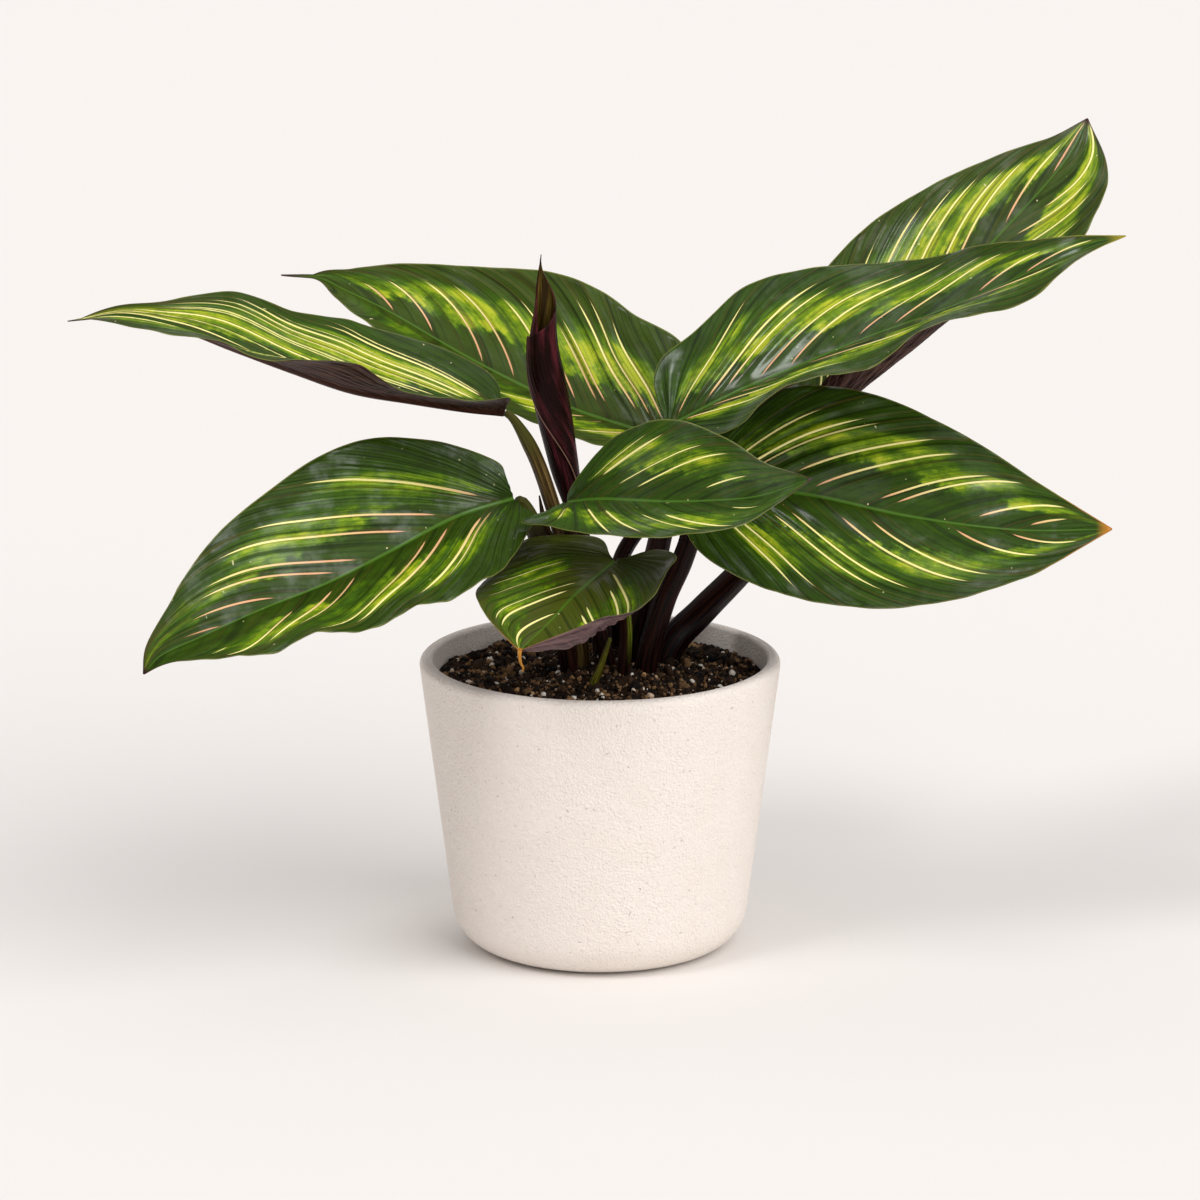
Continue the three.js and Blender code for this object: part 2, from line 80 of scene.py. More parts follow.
# Each leaf's form is the CAD's: the midrib's points from stalk to tip, and for its left and right
# halves, as seen from the stalk, widths and slopes listed from stalk to tip. Tail is the share of
# the midrib that a thin tip takes up, lobe is how far a half's base reaches back, and a ripple
# swings the slope of a half's margin. The stalk's points run down from the blade.
# Markings follow the side veins. A vein is numbered from 0 at the stalk to 1 at the tip. A greater
# vein_lean makes veins leave the midrib nearer the stalk, and a half's sweep is how far they lean
# on towards the tip, at the stalk and at the tip. A pin stripe is (vein, from, to), with from and
# to counted across the half, 0 at the midrib and 1 at the margin.
# The light patches lie inside band, counted across the half, and between the veins in light_ends.
# Brightness is their strength. Paleness and olive are how far the dark green turns mid green and
# olive, gloss is the weight of the shiny patches, and pink_reach is how far out stripes are pink.
# Under_grain counts the underside's streaks along the midrib and across a half. Waviness scales
# the waves of the margin. From the share tip_from of the midrib on, a blade takes its tip's colour.

# What a leaf has unless it says otherwise
USUAL_LEAF = {
    "tail": 0, "vein_lean": 3, "stalk_tints": ["maroon"], "pink_reach": 0, "olive": 0.05, "paleness": 0.3,
    "light_ends": (0.04, 0.86), "waviness": 1, "under_tint": "under", "under_grain": (40, 2),
    "tip_colour": "dark_tip",
}

UPPER_LEFT = {
    "name": "upper_left",
    "midrib": [
        (-37, -8, 215), (-50, -12, 217), (-72, -18, 221.5), (-94, -24, 226.5),
        (-116, -29, 235), (-138, -33, 244), (-160, -36, 253), (-181, -38, 258), (-201, -39, 256),
    ],
    "tail": 0.03,
    "left": {
        "widths": [3, 14, 25, 26, 30, 33, 34, 27, 0],
        "slope": [18, 22, 26, 22, 14, 12, 10],
        "margin_slope": [60, 16, 5, 7, 26, 13, 1, 7, -4, -11, 18],
        "lobe": 4, "sweep": (0.3, 0.3),
        "stripes": [
            (0.30, 0.15, 0.75), (0.36, 0.12, 0.8), (0.5, 0.1, 0.8), (0.56, 0.1, 0.75),
            (0.68, 0.08, 0.7), (0.73, 0.08, 0.7), (0.83, 0.08, 0.5),
        ],
    },
    "right": {
        "widths": [5, 19, 29, 33, 36.5, 30, 29, 10, 0],
        "slope": [33], "margin_slope": [33], "lobe": 5, "sweep": (0.3, 0.6),
        "stripes": [
            (0.05, 0.35, 0.92), (0.1, 0.3, 0.88), (0.2, 0.2, 0.88), (0.25, 0.18, 0.9),
            (0.33, 0.15, 0.85), (0.38, 0.12, 0.85), (0.46, 0.1, 0.75), (0.5, 0.1, 0.7),
            (0.6, 0.08, 0.6), (0.7, 0.06, 0.5), (0.8, 0.05, 0.35),
        ],
    },
    "stalk": [(-26, -5, 198), (-19, -3, 178), (-12, -1, 150), (-7, 1, 112)],
    "stalk_radius": (2.7, 3.6), "stalk_tints": ["olive"], "brightness": 0.85, "band": (0.12, 0.78),
    "stripe_width": 0.34, "gloss": 0.4, "olive": 0.08, "waviness": 0.6, "under_grain": (6, 24),
    "tip_from": 0.975,
}

BACK_LEFT = {
    "name": "back_left",
    "midrib": [
        (35, 30, 192), (12, 40, 197), (-11, 48, 203), (-47, 60, 218),
        (-85, 70, 238), (-101, 74, 245), (-110, 76, 249), (-126, 78, 250),
    ],
    "tail": 0.07, "vein_lean": 2.5,
    "left": {
        "widths": [7, 22, 31, 35, 35, 31, 24, 13, 0],
        "slope": [0, 0, 0, 0, -4, -8],
        "margin_slope": [5, 2, 4, 2, -14, -32, -12],
        "lobe": 3, "sweep": (-0.1, -0.1),
        "stripes": [
            (0.35, 0.15, 0.7), (0.4, 0.15, 0.7), (0.52, 0.1, 0.75), (0.56, 0.12, 0.7),
            (0.63, 0.15, 0.7), (0.75, 0.1, 0.6), (0.79, 0.12, 0.6),
        ],
    },
    "right": {
        "widths": [8, 27, 38, 42, 46, 44, 33, 18, 0],
        "slope": [55], "margin_slope": [65], "lobe": 3, "sweep": (0.04, 0.06),
        "stripes": [
            (0.3, 0.2, 0.85), (0.36, 0.18, 0.9), (0.41, 0.18, 0.86), (0.505, 0.15, 0.66),
            (0.53, 0.14, 0.6), (0.59, 0.08, 0.7), (0.63, 0.08, 0.68), (0.71, 0.03, 0.72),
            (0.76, 0.02, 0.7), (0.83, 0.05, 0.6), (0.88, 0.05, 0.45),
        ],
    },
    "stalk": [(36, 26, 178), (20, 25, 165), (9, 24, 150), (6, 23, 135), (7, 22, 112)],
    "stalk_radius": (2.4, 4), "brightness": 1.05, "band": (0.2, 0.7), "stripe_width": 0.4, "pink_reach": 0.7,
    "gloss": 0.3, "olive": 0.25, "paleness": 0.4, "tip_from": 0.93,
}

RIGHT_FRONT = {
    "name": "right_front",
    "midrib": [
        (26, -2, 207), (52, -4, 221), (76, -7, 232), (100, -10, 243),
        (136, -16, 258), (178, -22, 278), (199, -25, 286),
    ],
    "left": {
        "widths": [10, 25, 30, 40, 39, 33, 26, 12, 0],
        "slope": [48, 50, 40, 30, 42, 45],
        "margin_slope": [55, 56, 44, 34, 42, 45],
        "lobe": 3, "sweep": (0, 0.08),
        "stripes": [
            (0.25, 0.12, 0.88), (0.43, 0.1, 0.83), (0.49, 0.12, 0.75), (0.59, 0.04, 0.83),
            (0.648, 0.03, 0.86), (0.745, 0.06, 0.78), (0.79, 0.05, 0.74), (0.875, 0.06, 0.55),
            (0.92, 0.04, 0.6),
        ],
    },
    "right": {
        "widths": [7, 22, 31, 37, 37, 34, 27, 16, 0],
        "slope": [-6, -6, -2, 0, 0, 0],
        "margin_slope": [-6, -6, -4, -8, -26, -5],
        "lobe": 3, "ripple": {"swing": 12, "count": 3, "phase": 0.36}, "sweep": (0.25, 0.2),
        "stripes": [
            (0.2, 0.15, 0.6), (0.26, 0.12, 0.65), (0.36, 0.1, 0.65), (0.42, 0.08, 0.68),
            (0.52, 0.06, 0.7), (0.57, 0.06, 0.66), (0.66, 0.05, 0.66), (0.71, 0.05, 0.6),
            (0.8, 0.05, 0.5), (0.85, 0.05, 0.45),
        ],
    },
    "stalk": [(26, 1.5, 180), (22.5, 3, 158), (17, 4, 137), (12, 5, 112)],
    "stalk_radius": (4, 5.2), "brightness": 0.85, "band": (0.22, 0.72), "stripe_width": 0.42,
    "pink_reach": 0.5, "gloss": 0.9, "waviness": 0.8, "tip_colour": "yellow_tip", "tip_from": 0.96,
}

UPPER_RIGHT = {
    "name": "upper_right",
    "midrib": [
        (84, 50, 194), (99, 56, 208), (116, 63, 224), (134, 72, 242),
        (156, 84, 263), (185, 102, 292), (194, 110, 307),
    ],
    "left": {
        "widths": [7, 24, 34, 39, 40.5, 37.5, 29.5, 17.5, 0],
        "slope": [50], "margin_slope": [46], "lobe": 3, "sweep": (0.1, 0.2),
        "stripes": [
            (0.25, 0.2, 0.8), (0.31, 0.2, 0.82), (0.39, 0.15, 0.84), (0.508, 0.14, 0.86),
            (0.587, 0.12, 0.84), (0.65, 0.1, 0.8), (0.73, 0.08, 0.7), (0.773, 0.06, 0.66),
            (0.866, 0.04, 0.5), (0.937, 0.03, 0.3),
        ],
    },
    "right": {
        "widths": [6, 16, 25, 31, 36, 38, 38, 29, 0],
        "slope": [10, -20, -25, -20, -20],
        "margin_slope": [120, 118, 100, 55, 8, 0, -45],
        "lobe": 3, "sweep": (0.15, 0.15),
        "stripes": [
            (0.3, 0.15, 0.7), (0.36, 0.12, 0.75), (0.5, 0.1, 0.75), (0.56, 0.1, 0.7),
            (0.66, 0.1, 0.75), (0.72, 0.1, 0.78), (0.78, 0.15, 0.75), (0.84, 0.15, 0.6),
            (0.87, 0.2, 0.9),
        ],
    },
    "stalk": [(75, 43, 168), (62, 35, 148), (40, 20, 128), (28, 13, 117), (24, 11, 107)],
    "stalk_radius": (3.4, 6.6), "brightness": 1.1, "band": (0.18, 0.74), "stripe_width": 0.44,
    "pink_reach": 0.45, "gloss": 0.5, "olive": 0.2, "light_ends": (0.3, 0.86), "waviness": 0.8,
    "under_grain": (6, 24), "tip_from": 0.98,
}

RIGHT_MIDDLE = {
    "name": "right_middle",
    "midrib": [(34, -5, 184), (76, -12, 183), (120, -22, 176), (160, -31, 173), (195, -38, 175)],
    "left": {
        "widths": [8, 25, 36, 41, 41.5, 38, 30, 17, 0],
        "slope": [50, 60, 60, 60],
        "margin_slope": [55, 70, 70, 60],
        "lobe": 3, "sweep": (0.07, 0.09),
        "stripes": [
            (0.3, 0.2, 0.8), (0.41, 0.2, 0.78), (0.45, 0.2, 0.78), (0.57, 0.2, 0.83),
            (0.648, 0.08, 0.78), (0.747, 0.1, 0.7), (0.77, 0.1, 0.82), (0.865, 0.12, 0.75),
            (0.92, 0.1, 0.4),
        ],
    },
    "right": {
        "widths": [8, 25, 36, 41, 41.5, 38, 30, 17, 0],
        "slope": [-40, -45, -45],
        "margin_slope": [-50, -60, -50],
        "lobe": 3, "sweep": (0.18, 0.1),
        "stripes": [
            (0.205, 0.3, 0.92), (0.293, 0.3, 0.88), (0.492, 0.25, 0.82), (0.561, 0.2, 0.8),
            (0.68, 0.15, 0.8), (0.735, 0.12, 0.75), (0.848, 0.08, 0.6), (0.905, 0.08, 0.55),
        ],
    },
    "stalk": [(35, -6, 167), (32, -6, 155), (25, -6.5, 139), (18, -7, 112)],
    "stalk_radius": (3.8, 5), "brightness": 0.7, "band": (0.3, 0.78), "stripe_width": 0.46, "pink_reach": 0.5,
    "gloss": 1.0, "light_ends": (0.04, 0.9), "tip_colour": "orange_tip", "tip_from": 0.965,
}

FRONT_SMALL = {
    "name": "front_small",
    "midrib": [
        (-13, -22, 182), (0, -34, 186), (25, -55, 190), (42, -66, 193), (59, -76, 197), (79, -86, 206),
    ],
    "left": {
        "widths": [1, 11, 21.5, 28.5, 31, 28.5, 21.5, 11, 0],
        "slope": [58], "margin_slope": [62], "lobe": 0, "sweep": (0.22, 0.15),
        "stripes": [
            (0.18, 0.4, 0.85), (0.28, 0.4, 0.83), (0.52, 0.2, 0.78), (0.62, 0.15, 0.78),
            (0.793, 0.18, 0.5),
        ],
    },
    "right": {
        "widths": [8, 18.5, 25, 28.5, 30, 29.5, 27, 21, 0],
        "slope": [-10, -12, -15],
        "margin_slope": [-12, -16, -20],
        "lobe": 12, "sweep": (-0.2, 0.2),
        "stripes": [
            (0.296, 0.35, 0.78), (0.454, 0.38, 0.96), (0.535, 0.38, 0.88), (0.646, 0.4, 0.92),
            (0.702, 0.38, 0.92), (0.848, 0.23, 0.45),
        ],
    },
    "stalk": [(-12, -9, 168), (-6, -5.5, 148), (0, -4, 125), (3, -4, 112)],
    "stalk_radius": (2.2, 3.4), "brightness": 0.7, "band": (0.3, 0.85), "stripe_width": 0.44,
    "gloss": 0.9, "paleness": 0.35, "waviness": 0.6, "tip_from": 0.975,
}

FRONT_LOW = {
    "name": "front_low",
    "midrib": [(6, -30, 161), (-10, -58, 154), (-18, -74, 149), (-30, -98, 143)],
    "left": {
        "widths": [4.5, 18.5, 32.5, 34, 34.5, 31, 29, 27, 0],
        "slope": [14, -20, -45, -50],
        "margin_slope": [25, 39, 41, 80, 90],
        "lobe": 5, "sweep": (0.35, 0),
        "stripes": [
            (0.47, 0.15, 0.93), (0.56, 0.28, 0.88), (0.725, 0.2, 0.62), (0.76, 0.22, 0.92),
        ],
    },
    "right": {
        "widths": [0, 15, 34, 34.5, 33, 33, 30, 19, 0],
        "slope": [16, 8, 5],
        "margin_slope": [10, 5, 8, 21, 19],
        "lobe": 14, "sweep": (0.28, 0.3),
        "stripes": [
            (0.303, 0.38, 0.9), (0.443, 0.25, 0.85), (0.628, 0.1, 0.8), (0.688, 0.1, 0.72),
            (0.835, 0.02, 0.5),
        ],
    },
    "stalk": [(8, -24, 150), (10, -17, 130), (9, -16, 112)],
    "stalk_radius": (2, 3), "stalk_tints": ["maroon", "green"], "brightness": 0.5, "band": (0.25, 0.95),
    "stripe_width": 0.52, "gloss": 0.5, "olive": 0.6, "paleness": 0.7, "light_ends": (0.04, 0.95),
    "waviness": 0.15, "under_tint": "mauve", "under_grain": (6, 24), "tip_colour": "orange_tip",
    "tip_from": 0.975,
}

LOWER_LEFT = {
    "name": "lower_left",
    "midrib": [
        (-33, -12, 181), (-55, -26, 177), (-79, -43, 168), (-103, -58, 159),
        (-128, -72, 152), (-150, -82, 144), (-165, -88, 138), (-171, -91, 132),
    ],
    "left": {
        "widths": [6, 15, 28, 37, 38, 38, 33, 24, 0],
        "slope": [-22, -18, -12, -10, -10, -10],
        "margin_slope": [-25, -26, -16, -12, -6, -6, 15],
        "lobe": 7, "ripple": {"swing": 5, "count": 5, "phase": 0}, "sweep": (0.3, 0),
        "stripes": [
            (0.32, 0.18, 0.73), (0.373, 0.2, 0.8), (0.55, 0.1, 0.83), (0.613, 0.1, 0.9),
            (0.755, 0.1, 0.65), (0.785, 0.15, 0.75), (0.83, 0.25, 0.9), (0.888, 0.55, 0.75),
        ],
    },
    "right": {
        "widths": [8, 16, 27.5, 39, 42.5, 40.5, 34, 20.5, 0],
        "slope": [62], "margin_slope": [66], "lobe": 4, "sweep": (0.24, 0.24),
        "stripes": [
            (0.315, 0.2, 0.88), (0.54, 0.1, 0.8), (0.626, 0.08, 0.78), (0.732, 0.06, 0.62),
            (0.772, 0.05, 0.55), (0.85, 0.05, 0.36), (0.92, 0.01, 0.16),
        ],
    },
    "stalk": [(-24, -10, 164), (-17, -9, 138), (-12, -9, 112)],
    "stalk_radius": (3.4, 3.4), "brightness": 0.65, "band": (0.22, 0.8), "stripe_width": 0.46,
    "pink_reach": 0.75, "gloss": 0.8, "olive": 0.1, "tip_from": 0.985,
}

LEAVES = [
    {**USUAL_LEAF, **leaf} for leaf in (
        UPPER_LEFT, BACK_LEFT, RIGHT_FRONT, UPPER_RIGHT,
        RIGHT_MIDDLE, FRONT_SMALL, FRONT_LOW, LOWER_LEFT,
    )
]

# Fine detail that only this scene has

BLADE_DETAIL = {
    "columns": 170, "rows": 26, "row_power": 1.2, "thickness": 0.42, "edge_thickness": 0.22,
    "keel_depth": 1.9, "keel_half_width": 1.7, "groove_depth": 0.6, "groove_half_width": 1.1,
    "pleat": 0.36, "pleats": 13, "pleat_wander": 0.3, "pleat_bends": 9,
    "wave": 0.45, "waves": 6, "small_wave": 0.5, "small_waves": 2.3,
    "fine_veins": 46, "under_veins": 26,
}
STALK_DETAIL = {"sides": 24, "steps": 60, "ridges": 7, "ridge": 0.035, "neck": 0.55, "neck_share": 0.14}
ROLL_DETAIL = {"columns": 160, "rows": 70, "thickness": 0.5, "vein_relief": 0.05, "veins": 44}
POT_DETAIL = {"segments": 192, "arc_steps": 12, "longest_step": 8}
SOIL_DETAIL = {
    "rings": 80, "segments": 300, "bed_depth": 12, "bed_taper": 0.97,
    "lump": 1.9, "lump_size": 8, "clod": 1.6, "clod_size": 2.8, "tone_size": 4, "noise_shift": 200,
    "clods": 420, "clod_radius": (0.8, 2.5), "crumbs": 6400, "crumb_radius": (0.35, 1.2),
    "grains": 620, "grain_radius": (0.3, 1.3),
    "smallness": 2.5, "stretch": (0.7, 1.3), "rise": (0, 0.5), "wall_gap": 0.3,
}
STRIPE = {"softness": 0.16, "rim_width": 0.35, "start_fade": 0.08, "end_fade": 0.16, "glow_width": 6}

# Two small bodies that only this scene has: the dry curled tip of the low front leaf, and the tip
# of a sheath beside the upper left leaf's stalk
DRY_TIP = {
    "path": [
        (-29.8, -97.5, 143.2), (-30, -99.5, 141.5), (-29.6, -100.5, 139), (-28.6, -100.6, 137),
        (-28.9, -100.4, 135.4),
    ],
    "radius": (0.9, 0.25), "sides": 12, "steps": 24,
}
SHEATH_TIP = {
    "path": [(-23.4, -4, 180), (-22, -4, 172), (-18.5, -4, 158), (-12, -4, 132)],
    "radius": (0.3, 5.2), "sides": 20, "steps": 30,
}

COLOURS = {
    "stone": "fbf3ec", "stone_warm": "f3e7dd", "stone_pit": "b09c8c",
    "soil_dark": "080402", "soil_mid": "34200f", "soil_light": "94714c",
    "perlite": "f4ecdf", "perlite_tan": "c09566",
    "leaf_deep": "0d1a02", "leaf_dark": "1c3403", "leaf_mid": "3c5f09", "leaf_bright": "7a9a11",
    "leaf_yellow": "bcc42a", "leaf_olive": "55541a", "midrib": "4f7a20", "margin": "767a3c",
    "speck": "d8d2a0", "stripe": "fff6a0", "stripe_pink": "eba682", "stripe_rim": "5f4a1c",
    "under_dark": "1a0c09", "under_light": "5c4038", "under_vein": "7f6058",
    "mauve_dark": "37262a", "mauve_light": "79605f",
    "orange_tip": "c9822b", "yellow_tip": "a79a34", "dark_tip": "3f2620",
    "maroon_dark": "0a0202", "maroon_light": "38190f", "olive_dark": "35240f", "olive_light": "80693a",
    "green_dark": "39420a", "green_light": "7f8a22", "knee": "4a4c1a",
    "sheath_dark": "1c0b06", "sheath_light": "4a3a18", "dry_dark": "9a5f1c", "dry_light": "dca245",
    "roll_dark": "160403", "roll_light": "5e222b", "roll_edge": "a07a6a",
    "inside_dark": "33240a", "inside_light": "8a7430",
    "shoot_dark": "3d3a08", "shoot_light": "8d8c2c",
    "floor": "ece8e5", "world": "fdfbf9",
}

# Studio. The lights are distant, each shining from a place towards the plant over a spread of degrees
FLOOR_REACH = 15000
WORLD_STRENGTH = 0.47
LIGHTS = {
    "key": {"place": (0.7, -0.68, 0.85), "strength": 1.8, "spread": 55},
    "sheen": {"place": (-0.45, -0.42, 0.8), "strength": 0.8, "spread": 19},
    "top": {"place": (-0.1, 0.25, 1), "strength": 0.35, "spread": 50},
}
CAMERA = {"pitch": 14.34, "distance": 2521, "aim_height": 137.4, "lens": 195, "sensor_width": 36}


# Small helpers for numbers

def smoothstep(x, low, high):
    t = np.clip((x - low) / (high - low), 0, 1)
    return t * t * (3 - 2 * t)


def lerp(a, b, t):
    return a + (b - a) * t


def normalised(vectors):
    return vectors / np.linalg.norm(vectors, axis=-1, keepdims=True)


def along(values, s):
    """Reads a list of values, spread evenly from 0 to 1, as a smooth curve."""
    if len(values) == 1:
        return np.full(np.shape(s), float(values[0]))
    listed = np.array([2 * values[0] - values[1], *values, 2 * values[-1] - values[-2]], float)
    place = np.clip(s, 0, 1) * (len(values) - 1)
    index = np.minimum(place.astype(int), len(values) - 2)
    t = place - index
    a, b, c, d = (listed[index + k] for k in range(4))
    bend = (2 * a - 5 * b + 4 * c - d) * t + (3 * b - a - 3 * c + d) * t * t
    return b + 0.5 * t * (c - a + bend)


def lattice_noise(x, y, size, seed):
    """Smooth noise from 0 to 1 with lumps of the given size, repeating every 64 lumps."""
    lattice = np.random.default_rng(seed).random((64, 64))
    x, y = x / size, y / size
    i, j = np.floor(x).astype(int), np.floor(y).astype(int)
    u, v = smoothstep(x - i, 0, 1), smoothstep(y - j, 0, 1)
    near = lerp(lattice[i % 64, j % 64], lattice[(i + 1) % 64, j % 64], u)
    far = lerp(lattice[i % 64, (j + 1) % 64], lattice[(i + 1) % 64, (j + 1) % 64], u)
    return lerp(near, far, v)


class Curve:
    """A centripetal Catmull-Rom curve through points, read by its share of length from 0 to 1."""

    def __init__(self, points, steps_a_span=120):
        p = np.array(points, float)
        p = np.vstack([2 * p[0] - p[1], p, 2 * p[-1] - p[-2]])
        t = np.linspace(0, 1, steps_a_span, endpoint=False)[:, None]
        spans = []
        for p0, p1, p2, p3 in zip(p, p[1:], p[2:], p[3:]):
            d0, d1, d2 = (math.sqrt(np.linalg.norm(b - a)) for a, b in ((p0, p1), (p1, p2), (p2, p3)))
            start = d1 * ((p1 - p0) / d0 - (p2 - p0) / (d0 + d1) + (p2 - p1) / d1)
            end = d1 * ((p2 - p1) / d1 - (p3 - p1) / (d1 + d2) + (p3 - p2) / d2)
            square = 3 * (p2 - p1) - 2 * start - end
            cube = 2 * (p1 - p2) + start + end
            spans.append(p1 + start * t + square * t ** 2 + cube * t ** 3)
        self.points = np.vstack([*spans, p[-2:-1]])
        steps = np.linalg.norm(np.diff(self.points, axis=0), axis=1)
        self.length = steps.sum()
        self.shares = np.concatenate([[0], np.cumsum(steps)]) / self.length
        self.directions = normalised(np.gradient(self.points, self.shares, axis=0))

    def read(self, table, s):
        return np.stack([np.interp(s, self.shares, table[:, k]) for k in range(3)], axis=-1)

    def at(self, s):
        return self.read(self.points, s)

    def direction(self, s):
        return normalised(self.read(self.directions, s))


# Making meshes

def make_piece(name, points, faces, materials, face_materials=None, values=None):
    """A smooth mesh piece from points in millimetres, with named values at its points."""
    mesh = bpy.data.meshes.new(name)
    mesh.from_pydata((np.asarray(points) * MM).tolist(), [], [tuple(face) for face in faces])
    for material in materials:
        mesh.materials.append(material)
    mesh.shade_smooth()
    if face_materials is not None:
        mesh.polygons.foreach_set("material_index", np.asarray(face_materials, np.int32))
    for key, numbers in (values or {}).items():
        attribute = mesh.attributes.new(key, "FLOAT", "POINT")
        attribute.data.foreach_set("value", np.asarray(numbers, np.float32).ravel())
    mesh.update()
    piece = bpy.data.objects.new(name, mesh)
    bpy.context.scene.collection.objects.link(piece)
    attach(piece, "root")
    return piece


def grid_quads(columns, rows, wrap=False):
    """Quads of a grid whose point (i, j) has index i * rows + j, closed in i if wrap is set."""
    i, j = np.meshgrid(np.arange(columns if wrap else columns - 1), np.arange(rows - 1), indexing="ij")
    a = (i * rows + j).ravel()
    b = (((i + 1) % columns) * rows + j).ravel()
    return np.stack([a, b, b + 1, a + 1], axis=1)


def fan(centre, ring):
    """Triangles round a centre point that close a ring. Both are given by their points' indices."""
    ring = list(ring)
    return [(centre, after, before) for before, after in zip(ring, ring[1:] + ring[:1])]


def sheet(upper, lower):
    """A closed sheet between two grids of points: its points, its faces, and for each face 0 on
    the upper side, 1 on the lower side and 2 on the edge."""
    columns, rows = upper.shape[:2]
    count = columns * rows
    top = grid_quads(columns, rows)
    bottom = top[:, ::-1] + count
    ends = [(i, 0) for i in range(columns - 1)]
    ends += [(columns - 1, j) for j in range(rows - 1)]
    ends += [(i, rows - 1) for i in range(columns - 1, 0, -1)]
    ends += [(0, j) for j in range(rows - 1, 0, -1)]
    border = np.array([i * rows + j for i, j in ends])
    following = np.roll(border, -1)
    edge = np.stack([following, border, border + count, following + count], axis=1)
    points = np.concatenate([upper.reshape(-1, 3), lower.reshape(-1, 3)])
    kinds = np.repeat([0, 1, 2], [len(top), len(bottom), len(edge)])
    return points, np.concatenate([top, bottom, edge]), kinds


def rod(curve, radius_at, sides, steps, ridges=0, ridge=0):
    """A rod along a curve, closed at both ends: points, faces, and each point's share of the
    length and turn round the rod."""
    s = np.linspace(0, 1, steps + 1)
    middles, forwards = curve.at(s), curve.direction(s)
    sideways_hint = (0.3, 1, 0.2)
    side = normalised(np.cross(forwards[0], sideways_hint))
    sideways = []
    for forward in forwards:
        side = normalised(side - forward * np.dot(side, forward))
        sideways.append(side)
    sideways = np.array(sideways)
    upwards = np.cross(forwards, sideways)
    turn = np.linspace(0, 2 * math.pi, sides, endpoint=False)
    swell = 1 + ridge * np.cos(ridges * turn)
    radius = radius_at(s)[:, None, None] * swell[None, :, None]
    out = np.cos(turn)[None, :, None] * sideways[:, None] + np.sin(turn)[None, :, None] * upwards[:, None]
    rings = middles[:, None] + out * radius
    points = np.concatenate([rings.reshape(-1, 3), middles[[0, -1]]])
    a = np.arange(steps)[:, None] * sides + np.arange(sides)[None]
    b = np.arange(steps)[:, None] * sides + (np.arange(sides)[None] + 1) % sides
    quads = np.stack([a, b, b + sides, a + sides], axis=-1).reshape(-1, 4)
    first, last = len(points) - 2, len(points) - 1
    last_ring = range(steps * sides, steps * sides + sides)
    faces = [*quads, *fan(first, range(sides)), *fan(last, reversed(last_ring))]
    shares = np.concatenate([np.repeat(s, sides), [0, 1]])
    turns = np.concatenate([np.tile(turn / (2 * math.pi), steps + 1), [0, 0]])
    return points, faces, shares, turns


# Making materials

def rgb(name):
    """A named colour as linear red, green, blue and alpha."""
    channels = [int(COLOURS[name][k:k + 2], 16) / 255 for k in (0, 2, 4)]
    linear = [c / 12.92 if c <= 0.04045 else ((c + 0.055) / 1.055) ** 2.4 for c in channels]
    return (*linear, 1)


class Value:
    """What a shader's socket holds. It can be added, subtracted, multiplied and shaped."""

    def __init__(self, shader, socket):
        self.shader, self.socket = shader, socket

    def math(self, operation, *values, clamp=False):
        return self.shader.node("ShaderNodeMath", self, *values, operation=operation, use_clamp=clamp)

    def __add__(self, other):
        return self.math("ADD", other)

    def __sub__(self, other):
        return self.math("SUBTRACT", other)

    def __mul__(self, other):
        return self.math("MULTIPLY", other)

    def ramp(self, low, high, start=0, end=1):
        """Goes smoothly from start to end as the value goes from low to high."""
        return self.shader.node(
            "ShaderNodeMapRange", self, low, high, start, end, interpolation_type="SMOOTHSTEP",
        )

    def sine(self, waves):
        """So many waves from -1 to 1 as the value goes from 0 to 1."""
        return (self * (2 * math.pi * waves)).math("SINE")


class Shader:
    """A new material, with short calls that add nodes. An input is a number, a Value or the name
    of a colour."""

    def __init__(self, name):
        self.material = bpy.data.materials.new(name)
        self.material.use_nodes = True
        self.tree = self.material.node_tree
        self.surface = self.tree.nodes["Principled BSDF"]

    def put(self, value, socket):
        if isinstance(value, Value):
            self.tree.links.new(value.socket, socket)
        else:
            socket.default_value = rgb(value) if isinstance(value, str) else value

    def node(self, kind, *values, named=None, output=0, **settings):
        """A new node's output. Its inputs are given in order, or in named by name or index."""
        node = self.tree.nodes.new(kind)
        for key, setting in settings.items():
            setattr(node, key, setting)
        for value, socket in zip(values, node.inputs):
            self.put(value, socket)
        for key, value in (named or {}).items():
            self.put(value, node.inputs[key])
        return Value(self, node.outputs[output])

    def value(self, name):
        """A value that make_piece gave the mesh's points."""
        return self.node("ShaderNodeAttribute", attribute_name=name, output="Fac")

    def place(self):
        return self.node("ShaderNodeTexCoord", output="Object")

    def vector(self, *values):
        return self.node("ShaderNodeCombineXYZ", *values)

    def noise(self, vector, scale, detail=3, roughness=0.5):
        named = {"Vector": vector, "Scale": scale, "Detail": detail, "Roughness": roughness}
        return self.node("ShaderNodeTexNoise", named=named)

    def mix(self, a, b, factor):
        return self.node("ShaderNodeMix", named={0: factor, 6: a, 7: b}, output=2, data_type="RGBA")

    def tint(self, name, amount):
        return self.mix(name + "_dark", name + "_light", amount)

    def finish(self, colour, roughness, height, depth, specular):
        """Sets the surface. The height, 0 to 1, stands for a relief of depth millimetres."""
        named = {"Height": height, "Distance": depth * MM, "Strength": 1}
        inputs = {
            "Normal": self.node("ShaderNodeBump", named=named), "Base Color": colour,
            "Roughness": roughness, "Specular IOR Level": specular,
        }
        for key, value in inputs.items():
            self.put(value, self.surface.inputs[key])
        return self.material


